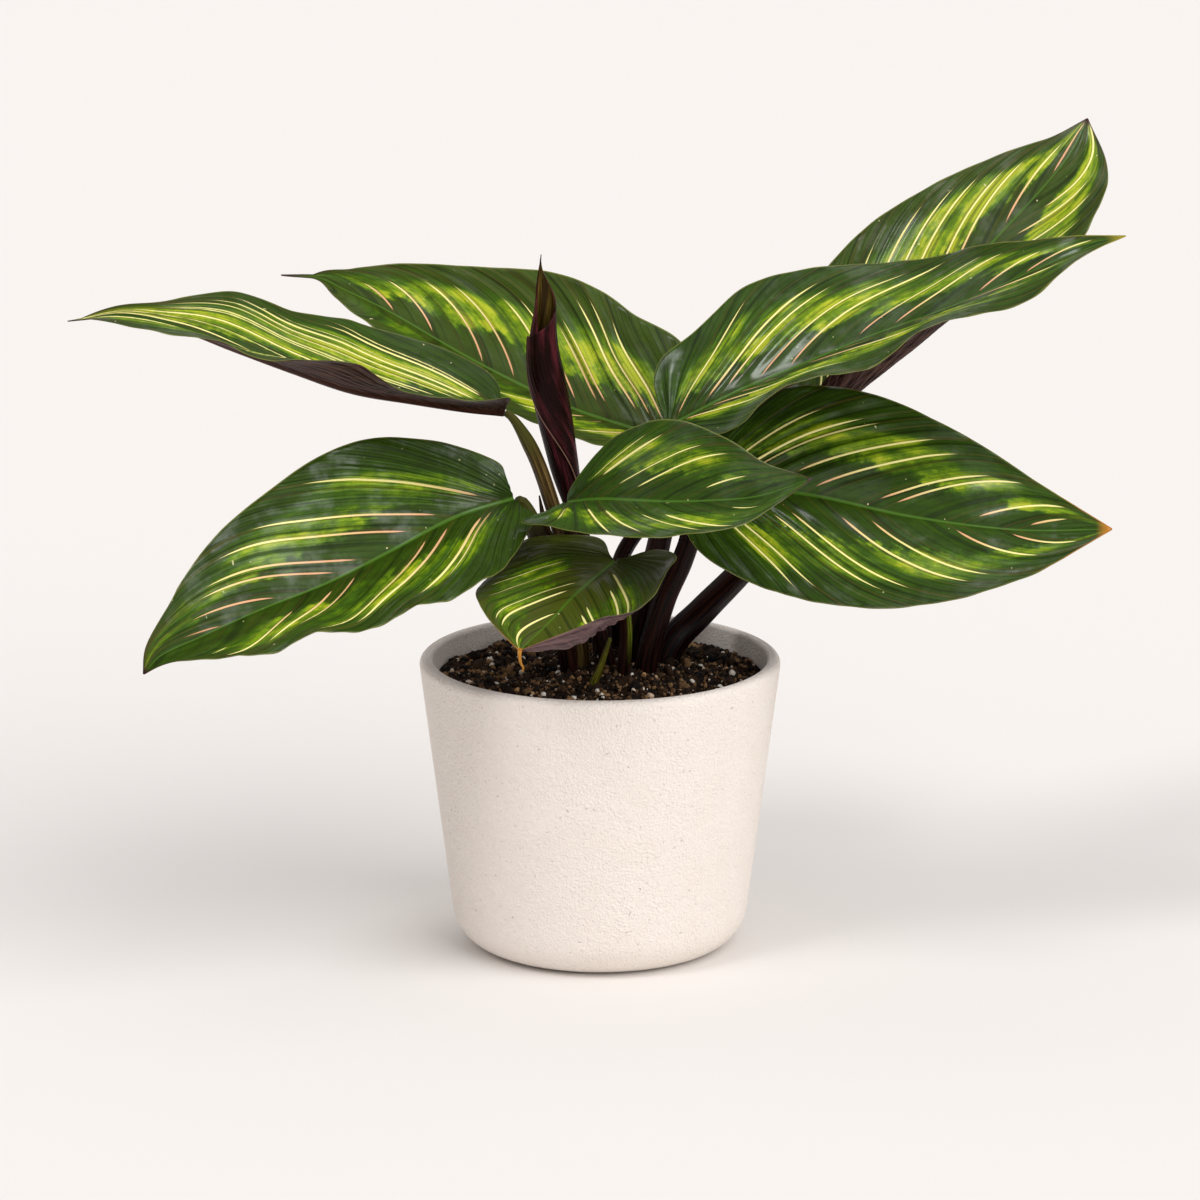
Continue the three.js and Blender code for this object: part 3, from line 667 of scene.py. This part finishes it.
def stripe_lines(leaf, vein, across, gap):
    """Masks of the pin stripes, of the thin rim round them and of a soft glow. They add up stripe
    by stripe: each is how far a point lies inside the stripe's tapering outline, in millimetres."""
    line, glow = -1, -1
    for key, side in (("left", -1), ("right", 1)):
        depth = across * side
        for number, start, end in leaf[key]["stripes"]:
            away = (vein - number).math("ABSOLUTE") * gap
            begin = depth.ramp(start, start + STRIPE["start_fade"])
            finish = depth.ramp(end - STRIPE["end_fade"], end, 1, 0)
            inside = (begin * finish).math("SQRT")
            line = inside.math("MULTIPLY_ADD", leaf["stripe_width"], away).math("MAXIMUM", line)
            glow = inside.math("MULTIPLY_ADD", STRIPE["glow_width"], away).math("MAXIMUM", glow)
    rim = line.ramp(-STRIPE["rim_width"], 0)
    glow = glow.math("DIVIDE", STRIPE["glow_width"], clamp=True)
    return line.ramp(0, STRIPE["softness"]), rim, glow


def blade_top_material(leaf, seed):
    shader = Shader("blade_top_" + leaf["name"])
    vein, across, gap = shader.value("vein"), shader.value("across"), shader.value("vein_gap")
    midrib_share, from_midrib = shader.value("midrib_share"), shader.value("from_midrib")
    from_margin, place = shader.value("from_margin"), shader.place()
    out = across.math("ABSOLUTE")
    side_seed = across.math("SIGN") * 3 + seed

    def streaks(along_veins, across_veins, detail, roughness):
        spread = shader.vector(vein * across_veins, out * along_veins, side_seed)
        return shader.noise(spread, 1, detail, roughness)

    streak = streaks(2.4, 20, 4, 0.6)
    fringe = streaks(2.6, 26, 3, 0.6)
    blotch = streaks(5, 9, 4, 0.65)
    mottle = shader.noise(place, 190, 4, 0.62)
    line, rim, glow = stripe_lines(leaf, vein, across, gap)

    inner, outer = leaf["band"]
    ragged = out + (fringe * 0.5 + (mottle * 0.24 - 0.37))
    band = ragged.ramp(inner, inner + 0.14) * ragged.ramp(outer - 0.16, outer + 0.12, 1, 0)
    first, last = leaf["light_ends"]
    ends = vein.ramp(first, first + 0.16) * vein.ramp(last, last + 0.13, 1, 0)
    light = band * ends * (glow * 0.7 + 0.32)
    light = light * streak.ramp(0.3, 0.7, 0.5, 1.25) * blotch.ramp(0.34, 0.66, 0.55, 1.2)
    light = light * mottle.ramp(0.34, 0.66, 0.75, 1.15)
    light = light.math("MULTIPLY", leaf["brightness"] * 1.35, clamp=True)

    pale = leaf["paleness"]
    base = shader.mix("leaf_deep", "leaf_dark", mottle.ramp(0.3, 0.66))
    base = shader.mix(base, "leaf_mid", blotch.ramp(0.35, 0.75, pale, 0.6 + 0.4 * pale))
    base = shader.mix(base, "leaf_olive", leaf["olive"])
    colour = shader.mix(base, "leaf_mid", light.ramp(0.02, 0.3, 0, 0.85))
    colour = shader.mix(colour, "leaf_bright", light.ramp(0.18, 0.75))
    colour = shader.mix(colour, "leaf_yellow", light.ramp(0.6, 1.05, 0, 0.85))

    fine = vein.sine(BLADE_DETAIL["fine_veins"]).ramp(0.5, 1) * out.ramp(0.02, 0.12, 0.25, 1)
    colour = shader.mix(colour, "leaf_deep", fine * 0.22)
    # Dark lines in the troughs of the pleats: painted shade in the leaf's folds
    fold_shade = vein.sine(BLADE_DETAIL["pleats"]).ramp(-0.8, -1)
    colour = shader.mix(colour, "leaf_deep", fold_shade * 0.5)

    stripe = "stripe"
    if leaf["pink_reach"]:
        pink = (streak * 0.2 + out).ramp(0.2, leaf["pink_reach"], 0.9, 0)
        stripe = shader.mix("stripe", "stripe_pink", pink)
    colour = shader.mix(colour, "stripe_rim", rim * 0.45)
    colour = shader.mix(colour, stripe, line)

    rib = (midrib_share.ramp(0, 1, 0.75, 0.25) - from_midrib).ramp(-0.2, 0.2)
    colour = shader.mix(colour, "midrib", rib * 0.65)
    near_tip = midrib_share.ramp(leaf["tip_from"] - 0.16, leaf["tip_from"], 0, 0.8)
    margin = shader.mix("margin", leaf["tip_colour"], near_tip)
    colour = shader.mix(colour, margin, from_margin.ramp(0.25, 0.6, 0.85, 0))
    colour = shader.mix(colour, "speck", shader.noise(place, 430, 1, 0.4).ramp(0.785, 0.81, 0, 0.8))
    tip = (blotch * 0.01 + midrib_share).ramp(leaf["tip_from"], 1)
    colour = shader.mix(colour, leaf["tip_colour"], tip)

    height = mottle * 0.5 - fine * 0.6 + line * 0.3
    gloss = shader.noise(place, 38, 4, 0.66)
    shader.put(gloss.ramp(0.44, 0.64, 0, leaf["gloss"]), shader.surface.inputs["Coat Weight"])
    shader.put(0.2, shader.surface.inputs["Coat Roughness"])
    return shader.finish(colour, gloss.ramp(0.35, 0.6, 0.5, 0.34), height, 0.16, specular=0.16)


def blade_under_material(leaf, seed):
    shader = Shader("blade_under_" + leaf["name"])
    vein, out = shader.value("vein"), shader.value("across").math("ABSOLUTE")
    along_midrib, across_half = leaf["under_grain"]
    spread = shader.vector(vein * along_midrib, out * across_half, seed)
    streak = shader.noise(spread, 1, 4, 0.6)
    colour = shader.tint(leaf["under_tint"], streak.ramp(0.32, 0.74))
    lines = vein.sine(BLADE_DETAIL["under_veins"]).ramp(0.7, 1)
    colour = shader.mix(colour, "under_vein", lines * 0.3)
    colour = shader.mix(colour, "maroon_light", shader.value("from_midrib").ramp(1.2, 2.4, 0.7, 0))
    height = lines * 0.7 + streak * 0.3
    return shader.finish(colour, streak.ramp(0.2, 0.8, 0.36, 0.52), height, 0.18, specular=0.1)


def stalk_material(name, tints, seed):
    """Streaky skin in the tint's dark and light colours, with the knee's colour where share is
    near 0. A second tint covers the side that faces right, down to the middle of the stalk."""
    shader = Shader(name)
    share = shader.value("share")
    around = shader.value("turn") * (2 * math.pi)
    ring = shader.vector(around.math("COSINE") * 3, around.math("SINE") * 3, share * 2.5 + seed)
    streak = shader.noise(ring, 1.6, 4, 0.62)
    amount = streak.ramp(0.4, 0.72)
    colour = shader.tint(tints[0], amount)
    if len(tints) > 1:
        patch = shader.value("facing_right").ramp(0.1, 0.5) * share.ramp(0.45, 0.7, 1, 0)
        colour = shader.mix(colour, shader.tint(tints[1], amount), patch)
    colour = shader.mix(colour, "knee", share.ramp(0.08, 0.22, 0.75, 0))
    return shader.finish(colour, streak.ramp(0.3, 0.7, 0.24, 0.44), streak, 0.35, specular=0.1)


def stone_material():
    shader = Shader("stone")
    place = shader.place()
    stipple = shader.noise(place, 1150, 2, 0.55)
    lumps = shader.noise(place, 420, 2, 0.5)
    tone = shader.noise(place, 60, 3, 0.5)
    pit = shader.noise(place, 760, 1, 0.4).ramp(0.74, 0.8)
    colour = shader.mix("stone", "stone_warm", stipple.ramp(0.3, 0.7, 0.2, 0.7))
    colour = shader.mix(colour, "stone_warm", tone.ramp(0.4, 0.7, 0, 0.3))
    colour = shader.mix(colour, "stone_pit", pit * 0.4)
    height = lumps * 0.5 + stipple - pit * 0.5
    return shader.finish(colour, stipple.ramp(0.3, 0.7, 0.7, 0.86), height, 0.8, specular=0.3)


def soil_material():
    shader = Shader("potting_mix")
    place = shader.place()
    clods = shader.noise(place, 380, 4, 0.65)
    grit = shader.noise(place, 1500, 3, 0.6)
    tone = shader.value("tone") * 0.75 + clods * 0.45
    colour = shader.mix("soil_dark", "soil_mid", tone.ramp(0.2, 0.7))
    colour = shader.mix(colour, "soil_light", tone.ramp(0.62, 1.0))
    height = grit * 0.5 + clods
    return shader.finish(colour, grit.ramp(0.2, 0.8, 0.75, 0.98), height, 0.6, specular=0.25)


def grain_material():
    shader = Shader("perlite")
    pores = shader.noise(shader.place(), 1800, 3, 0.6)
    colour = shader.mix("perlite", "perlite_tan", shader.value("tone").ramp(0.45, 0.95))
    colour = shader.mix(colour, "soil_light", pores.ramp(0.58, 0.78, 0, 0.6))
    return shader.finish(colour, pores.ramp(0.3, 0.7, 0.78, 0.92), pores, 0.2, specular=0.3)


def roll_material(name, tint, edge, seed):
    """The rolled leaf's skin, with a thin pale line along the free edge where edge is above 0."""
    shader = Shader(name)
    turn, share = shader.value("turn"), shader.value("share")
    streak = shader.noise(shader.vector(turn * 14, share * 3, seed), 1, 4, 0.6)
    lines = turn.sine(ROLL_DETAIL["veins"]).ramp(0.5, 1)
    colour = shader.tint(tint, streak.ramp(0.42, 0.75))
    colour = shader.mix(colour, "roll_edge", turn.ramp(0.004, 0.012, edge, 0))
    height = lines * 0.5 + streak * 0.5
    return shader.finish(colour, streak.ramp(0.3, 0.7, 0.24, 0.38), height, 0.15, specular=0.08)


# The pot

WALL_LEAN = math.atan((POT["rim_radius"] - POT["base_radius"]) / POT["height"])


def wall_radius(height, inset):
    return POT["base_radius"] + height * math.tan(WALL_LEAN) - inset / math.cos(WALL_LEAN)


def wall_arc(height, inset, radius, start, end):
    """Points on an arc whose centre lies at a height, so far inside the pot's outer wall."""
    angle = np.linspace(start, end, POT_DETAIL["arc_steps"] + 1)
    across = wall_radius(height, inset) + radius * np.cos(angle)
    return np.stack([across, height + radius * np.sin(angle)], axis=1)


def pot_profile():
    quarter = math.pi / 2
    foot, lip_outer = POT["foot_round"], POT["lip_outer_round"]
    lip_inner, inside = POT["lip_inner_round"], POT["inside_round"]
    height, wall = POT["height"], POT["wall"]
    parts = [
        wall_arc(foot, foot, foot, -quarter, -WALL_LEAN),
        wall_arc(height - lip_outer, lip_outer, lip_outer, -WALL_LEAN, quarter),
        wall_arc(height - lip_inner, wall - lip_inner, lip_inner, quarter, math.pi - WALL_LEAN),
        wall_arc(POT["floor"] + inside, wall + inside, inside, -WALL_LEAN, -quarter),
    ]
    return with_wall_steps(np.concatenate(parts), POT_DETAIL["longest_step"])


def with_wall_steps(profile, longest):
    """The same profile with its long straight stretches split up."""
    points = [profile[0]]
    for start, end in zip(profile, profile[1:]):
        pieces = max(1, math.ceil(np.linalg.norm(end - start) / longest))
        points += [lerp(start, end, k / pieces) for k in range(1, pieces + 1)]
    return np.array(points)


def build_pot():
    profile = pot_profile()
    segments, rows = POT_DETAIL["segments"], len(profile)
    angle = np.linspace(0, 2 * math.pi, segments, endpoint=False)
    radius, height = profile[:, 0], profile[:, 1]
    rings = np.stack([
        np.cos(angle)[:, None] * radius, np.sin(angle)[:, None] * radius, np.ones((segments, 1)) * height,
    ], axis=-1)
    points = np.concatenate([rings.reshape(-1, 3), [(0, 0, height[0]), (0, 0, height[-1])]])
    under, inside = len(points) - 2, len(points) - 1
    faces = [
        *grid_quads(segments, rows, wrap=True),
        *fan(under, range(0, segments * rows, rows)),
        *fan(inside, reversed(range(rows - 1, segments * rows, rows))),
    ]
    pot = make_piece("pot_shell", points, faces, [stone_material()])
    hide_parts("pot")


# The soil

SOIL_RIM = wall_radius(SOIL["edge_height"], POT["wall"] + SOIL["gap"])


def soil_noise(x, y, size, seed):
    shift = SOIL_DETAIL["noise_shift"]
    return lattice_noise(x + shift, y + shift, size, seed)


def soil_height(x, y):
    from_wall = SOIL_RIM - np.hypot(x, y)
    from_crown = np.hypot(x - SOIL["crown"][0], y - SOIL["crown"][1])
    heap = 1 - smoothstep(from_crown, SOIL["crown_radius"], SOIL["mound_radius"])
    lump = soil_noise(x, y, SOIL_DETAIL["lump_size"], 3) - 0.5
    clod = soil_noise(x, y, SOIL_DETAIL["clod_size"], 4) - 0.5
    rough = SOIL_DETAIL["lump"] * lump * 2 + SOIL_DETAIL["clod"] * clod
    return SOIL["edge_height"] + SOIL["mound"] * heap + rough * smoothstep(from_wall, -1, 3)


def scattered(rng, count, radii, roughness, body):
    """Many small rough bodies lying in the soil's surface, as one mesh with a tone for each."""
    corners, faces = body
    points, all_faces, tones = [], [], []
    for k in range(count):
        size = radii[0] + (radii[1] - radii[0]) * rng.random() ** SOIL_DETAIL["smallness"]
        distance = (SOIL_RIM - size - SOIL_DETAIL["wall_gap"]) * math.sqrt(rng.random())
        angle = 2 * math.pi * rng.random()
        x, y = distance * math.cos(angle), distance * math.sin(angle)
        stretch = rng.uniform(*SOIL_DETAIL["stretch"], 3)
        rough = rng.uniform(1 - roughness, 1 + roughness, (len(corners), 1))
        turn, _ = np.linalg.qr(rng.normal(size=(3, 3)))
        z = float(soil_height(np.array(x), np.array(y))) + size * rng.uniform(*SOIL_DETAIL["rise"])
        points.append((corners * rough * stretch * size) @ turn + (x, y, z))
        all_faces.append(faces + k * len(corners))
        tones.append(np.full(len(corners), rng.random()))
    return np.concatenate(points), np.concatenate(all_faces), np.concatenate(tones)


def ball(subdivisions):
    mesh = bmesh.new()
    bmesh.ops.create_icosphere(mesh, subdivisions=subdivisions, radius=1)
    corners = np.array([vertex.co for vertex in mesh.verts])
    faces = np.array([[vertex.index for vertex in face.verts] for face in mesh.faces])
    mesh.free()
    return corners, faces


def build_soil():
    detail = SOIL_DETAIL
    rings, segments = detail["rings"], detail["segments"]
    radius = SOIL_RIM * np.linspace(0, 1, rings + 1)[1:]
    angle = np.linspace(0, 2 * math.pi, segments, endpoint=False)
    x, y = np.cos(angle)[:, None] * radius, np.sin(angle)[:, None] * radius
    top = np.stack([x, y, soil_height(x, y)], axis=-1)
    taper, floor = detail["bed_taper"], (0, 0, SOIL["edge_height"] - detail["bed_depth"])
    surface = np.concatenate([top, top[:, -1:] * (taper, taper, 0) + floor], axis=1)
    rows = rings + 1
    centre = (0, 0, float(soil_height(np.array(0.0), np.array(0.0))))
    points = np.concatenate([surface.reshape(-1, 3), [centre, floor]])
    middle, under = len(points) - 2, len(points) - 1
    faces = [
        *grid_quads(segments, rows, wrap=True)[:, ::-1],
        *fan(middle, reversed(range(0, segments * rows, rows))),
        *fan(under, range(rows - 1, segments * rows, rows)),
    ]
    tone = soil_noise(points[:, 0], points[:, 1], detail["tone_size"], 5)
    mix = soil_material()
    bed = make_piece("soil_bed", points, faces, [mix], values={"tone": tone * 0.6})
    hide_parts("soil")
    rng = np.random.default_rng(11)
    fine, coarse = ball(1), ball(2)
    for name, count, radii, roughness, body, material in (
        ("soil_clods", detail["clods"], detail["clod_radius"], 0.4, coarse, mix),
        ("soil_crumbs", detail["crumbs"], detail["crumb_radius"], 0.4, fine, mix),
        ("soil_grains", detail["grains"], detail["grain_radius"], 0.16, coarse, grain_material()),
    ):
        points, faces, tones = scattered(rng, count, radii, roughness, body)
        make_piece(name, points, faces, [material], values={"tone": tones})


# Leaf blades

def half_width(leaf, half, s):
    t = np.minimum(s / (1 - leaf["tail"]), 1)
    body = np.maximum(along(half["widths"], t ** BLADE["width_spread"]), 0)
    return body + BLADE["base_half_width"] * (1 - s ** BLADE["base_taper"]) + BLADE["edge_half_width"]


def margin_slope(half, s):
    slope = along(half["margin_slope"], s)
    if "ripple" not in half:
        return slope
    ripple = half["ripple"]
    return slope + ripple["swing"] * np.sin(2 * math.pi * (ripple["count"] * s + ripple["phase"]))


def midrib_frame(midrib, s):
    forward = midrib.direction(s)
    rightward = normalised(np.cross(forward, (0, 0, 1)))
    return midrib.at(s), forward, rightward, np.cross(rightward, forward)


def blade_half(leaf, midrib, key, m, v):
    """One half of the blade over grids of m, where a vein meets the margin, and v across: the
    upper face's points and normals, the share along the midrib, and the half's width there."""
    half = leaf[key]
    side = 1 if key == "right" else -1
    root = m ** leaf["vein_lean"]
    s = root + (m - root) * v ** BLADE["vein_power"]
    place, forward, rightward, up = midrib_frame(midrib, s)
    width = half_width(leaf, half, s)
    start = np.radians(along(half["slope"], s))
    turn = np.radians(margin_slope(half, s)) - start
    turn = np.where(np.abs(turn) < 1e-6, 1e-6, turn)
    slope = start + turn * v
    across = (np.sin(slope) - np.sin(start)) / turn * width
    lift = (np.cos(start) - np.cos(slope)) / turn * width
    reach = s / BLADE["lobe_reach"]
    back = half["lobe"] * v ** BLADE["lobe_power"] * reach * np.exp(1 - reach)
    points = place + rightward * (side * across)[..., None] + up * lift[..., None] - forward * back[..., None]
    normals = up * np.cos(slope)[..., None] - rightward * (side * np.sin(slope))[..., None]
    return points, normals, s, width


def vein_number(half, m, v):
    return m - lerp(half["sweep"][0], half["sweep"][1], m) * v


def blade_surface(leaf, midrib):
    detail = BLADE_DETAIL
    v = np.linspace(0, 1, detail["rows"] + 1) ** detail["row_power"]
    m, v = np.meshgrid(np.linspace(0, 1, detail["columns"] + 1), v, indexing="ij")
    halves = {}
    for key in ("left", "right"):
        points, normals, s, width = blade_half(leaf, midrib, key, m, v)
        number = vein_number(leaf[key], m, v)
        halves[key] = (points, normals, s, v * width, (1 - v) * width, number, v)
    joined = []
    for left, right in zip(halves["left"], halves["right"]):
        joined.append(np.concatenate([left[:, :0:-1], right], axis=1))
    points, normals, s, from_midrib, from_margin, number, out = joined
    middle = detail["rows"]
    normals[:, middle] = normalised(halves["left"][1][:, 0] + halves["right"][1][:, 0])
    side = np.sign(np.arange(2 * middle + 1) - middle)
    return points, normals, s, from_midrib, from_margin, number, out * side


def vein_gaps(points, number):
    """Millimetres a whole vein number takes up, measured square to the veins, at each point."""
    du, dv = np.gradient(points, axis=0), np.gradient(points, axis=1)
    ku, kv = np.gradient(number, axis=0), np.gradient(number, axis=1)
    uu, uv, vv = (du * du).sum(-1), (du * dv).sum(-1), (dv * dv).sum(-1)
    area = np.maximum(uu * vv - uv * uv, 1e-9)
    steepness = (ku * ku * vv - 2 * ku * kv * uv + kv * kv * uu) / area
    return 1 / np.sqrt(np.maximum(steepness, 1e-8))


def build_blade(leaf, seed):
    detail = BLADE_DETAIL
    midrib = Curve(leaf["midrib"])
    points, normals, s, from_midrib, from_margin, number, across = blade_surface(leaf, midrib)
    gaps = vein_gaps(points, number)
    out = np.abs(across)
    fade = smoothstep(out, 0.02, 0.25) * (1 - smoothstep(out, 0.8, 1)) * smoothstep(from_margin, 1, 8)
    wander = detail["pleat_wander"] * np.sin(detail["pleat_bends"] * number + seed)
    pleat = detail["pleat"] * np.sin(2 * math.pi * (detail["pleats"] * number + wander))
    wave = detail["wave"] * np.sin(2 * math.pi * detail["waves"] * number + seed) * out ** 4
    small = np.sin(2 * math.pi * detail["small_waves"] * detail["waves"] * number + 2 * seed)
    wave += detail["small_wave"] * detail["wave"] * small * out ** 5
    wave *= leaf["waviness"] * smoothstep(s, 0.02, 0.15) * (1 - smoothstep(s, 0.85, 0.98))
    groove = detail["groove_depth"] * (1 - s) * np.exp(-((from_midrib / detail["groove_half_width"]) ** 2))
    upper = points + normals * (pleat * fade + wave - groove)[..., None]
    thickness = lerp(detail["edge_thickness"], detail["thickness"], smoothstep(from_margin, 0, 2))
    keel = detail["keel_depth"] * (1 - s) ** 0.8 * np.exp(-((from_midrib / detail["keel_half_width"]) ** 2))
    lower = upper - normals * (thickness + keel)[..., None]
    corners, faces, kinds = sheet(upper, lower)
    values = {
        "vein": number, "across": across, "vein_gap": -gaps, "midrib_share": s,
        "from_midrib": from_midrib, "from_margin": from_margin,
    }
    values = {key: np.concatenate([grid.ravel(), grid.ravel()]) for key, grid in values.items()}
    materials = [blade_top_material(leaf, seed), blade_under_material(leaf, seed)]
    blade = make_piece(
        "blade_" + leaf["name"], corners, faces, materials, np.where(kinds == 1, 1, 0), values,
    )
    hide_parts("leaf_" + leaf["name"])


# Stalks

def rooted(points):
    x, y, _ = points[-1]
    return [*points, (x, y, SOIL["edge_height"] - STALK["soil_depth"])]


def build_rod(name, path, radii, material, node, neck_width=1.0):
    detail = STALK_DETAIL
    top, bottom = radii

    def radius_at(s):
        neck = lerp(neck_width, 1, smoothstep(s, 0, detail["neck_share"]))
        return lerp(top, bottom, s) * neck * smoothstep(s, -0.02, 0.008)

    curve = Curve(path)
    sides, steps = detail["sides"], detail["steps"]
    points, faces, shares, turns = rod(curve, radius_at, sides, steps, detail["ridges"], detail["ridge"])
    middles = curve.at(np.linspace(0, 1, steps + 1))
    rings = points[:-2].reshape(steps + 1, sides, 3) - middles[:, None]
    facing_right = np.concatenate([normalised(rings)[..., 0].ravel(), [0, 0]])
    values = {"share": shares, "turn": turns, "facing_right": facing_right}
    piece = make_piece(name, points, faces, [material], values=values)
    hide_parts(node)


def build_stalk(leaf, seed):
    place, forward, _, up = (values[0] for values in midrib_frame(Curve(leaf["midrib"]), np.array([0.0])))
    tip = place - forward * STALK["tip_setback"] - up * STALK["tip_drop"]
    knee = place - forward * STALK["knee_length"] - up * STALK["knee_drop"]
    path = [tuple(tip), tuple(knee), *rooted(leaf["stalk"])]
    name = leaf["name"]
    material = stalk_material("stalk_skin_" + name, leaf["stalk_tints"], seed)
    radii = leaf["stalk_radius"]
    build_rod("petiole_" + name, path, radii, material, "stalk_" + name, STALK_DETAIL["neck"])


# The newest leaf, still rolled up

def roll_top(w):
    climb = lerp(ROLL["edge_top"], 1, np.minimum(w / ROLL["tip_at"], 1) ** ROLL["top_bend"])
    fall = lerp(1, ROLL["inner_top"], (w - ROLL["tip_at"]) / (1 - ROLL["tip_at"]))
    return np.where(w < ROLL["tip_at"], climb, fall)


def build_rolled_leaf():
    detail = ROLL_DETAIL
    axis = Curve(ROLL["axis"])
    around, upwards = (np.linspace(0, 1, detail[key] + 1) for key in ("columns", "rows"))
    w, t = np.meshgrid(around, upwards, indexing="ij")
    height = t * roll_top(w)
    swing = ROLL["edge_swing"] * (1 - smoothstep(height, 0, ROLL["swing_height"]))
    angle = np.radians(lerp(ROLL["edge_angle"] + swing, ROLL["inner_angle"], w))
    middle = axis.at(height)
    relief = detail["vein_relief"] * np.sin(2 * math.pi * detail["veins"] * w)
    radius = along(ROLL["radius"], height) - ROLL["tightening"] * w

    def face(offset):
        out = np.stack([np.cos(angle), np.sin(angle), np.zeros_like(angle)], axis=-1)
        return middle + out * (radius + relief + offset)[..., None]

    corners, faces, kinds = sheet(face(detail["thickness"] / 2), face(-detail["thickness"] / 2))
    values = {"turn": np.tile(w.ravel(), 2), "share": np.tile(height.ravel(), 2)}
    skins = [roll_material("roll_outside", "roll", 0.8, 2), roll_material("roll_inside", "inside", 0, 5)]
    leaf = make_piece("rolled_leaf", corners, faces, skins, np.where(kinds == 1, 1, 0), values)
    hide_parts("new_leaf")
    material = stalk_material("stalk_skin_new", ["maroon"], 31)
    build_rod("petiole_new", rooted(ROLL["stalk"]), ROLL["stalk_radius"], material, "new_leaf")


def build_trim(name, trim, tint, seed):
    """A small tapering body that only this scene has. Its shares start at 1, out of the knee's reach."""
    start, end = trim["radius"]
    points, faces, shares, turns = rod(
        Curve(trim["path"]), lambda s: lerp(start, end, s), trim["sides"], trim["steps"],
    )
    material = stalk_material(name + "_skin", [tint], seed)
    make_piece(name, points, faces, [material], values={"share": 1 + shares, "turn": turns})


def build_shoot():
    material = stalk_material("shoot_skin", ["shoot"], 41)
    build_rod("young_shoot", rooted(SHOOT["path"]), SHOOT["radius"], material, "shoot")


# Floor, light and camera

def place_thing(name, data):
    thing = bpy.data.objects.new(name, data)
    bpy.context.scene.collection.objects.link(thing)
    return thing


def add_floor():
    reach = FLOOR_REACH * MM
    corners = [(-reach, -reach, 0), (reach, -reach, 0), (reach, reach, 0), (-reach, reach, 0)]
    mesh = bpy.data.meshes.new("floor")
    mesh.from_pydata(corners, [], [(0, 1, 2, 3)])
    shader = Shader("floor_paint")
    shader.put("floor", shader.surface.inputs["Base Color"])
    shader.put(0.9, shader.surface.inputs["Roughness"])
    mesh.materials.append(shader.material)
    place_thing("floor", mesh)


def add_light(name, place, strength, spread):
    light = bpy.data.lights.new(name, "SUN")
    light.energy = strength
    light.angle = math.radians(spread)
    thing = place_thing(name, light)
    thing.location = place
    thing.rotation_euler = (-Vector(place)).to_track_quat("-Z", "Y").to_euler()


def add_world():
    world = bpy.data.worlds.new("studio")
    world.use_nodes = True
    background = world.node_tree.nodes["Background"]
    background.inputs["Color"].default_value = rgb("world")
    background.inputs["Strength"].default_value = WORLD_STRENGTH
    bpy.context.scene.world = world


def add_camera():
    pitch, distance = math.radians(CAMERA["pitch"]), CAMERA["distance"] * MM
    height = CAMERA["aim_height"] * MM + distance * math.sin(pitch)
    camera = bpy.data.cameras.new("camera")
    camera.lens = CAMERA["lens"]
    camera.sensor_width = CAMERA["sensor_width"]
    thing = place_thing("camera", camera)
    thing.location = (0, -distance * math.cos(pitch), height)
    thing.rotation_euler = (math.pi / 2 - pitch, 0, 0)
    bpy.context.scene.camera = thing


build_pot()
build_soil()
for number, leaf in enumerate(LEAVES):
    build_blade(leaf, number * 7)
    build_stalk(leaf, number * 7)
build_rolled_leaf()
build_shoot()
build_trim("dry_tip", DRY_TIP, "dry", 51)
build_trim("sheath_tip", SHEATH_TIP, "sheath", 57)

add_floor()
for name, light in LIGHTS.items():
    add_light(name, **light)
add_world()
add_camera()
bpy.context.scene.view_settings.view_transform = "Standard"
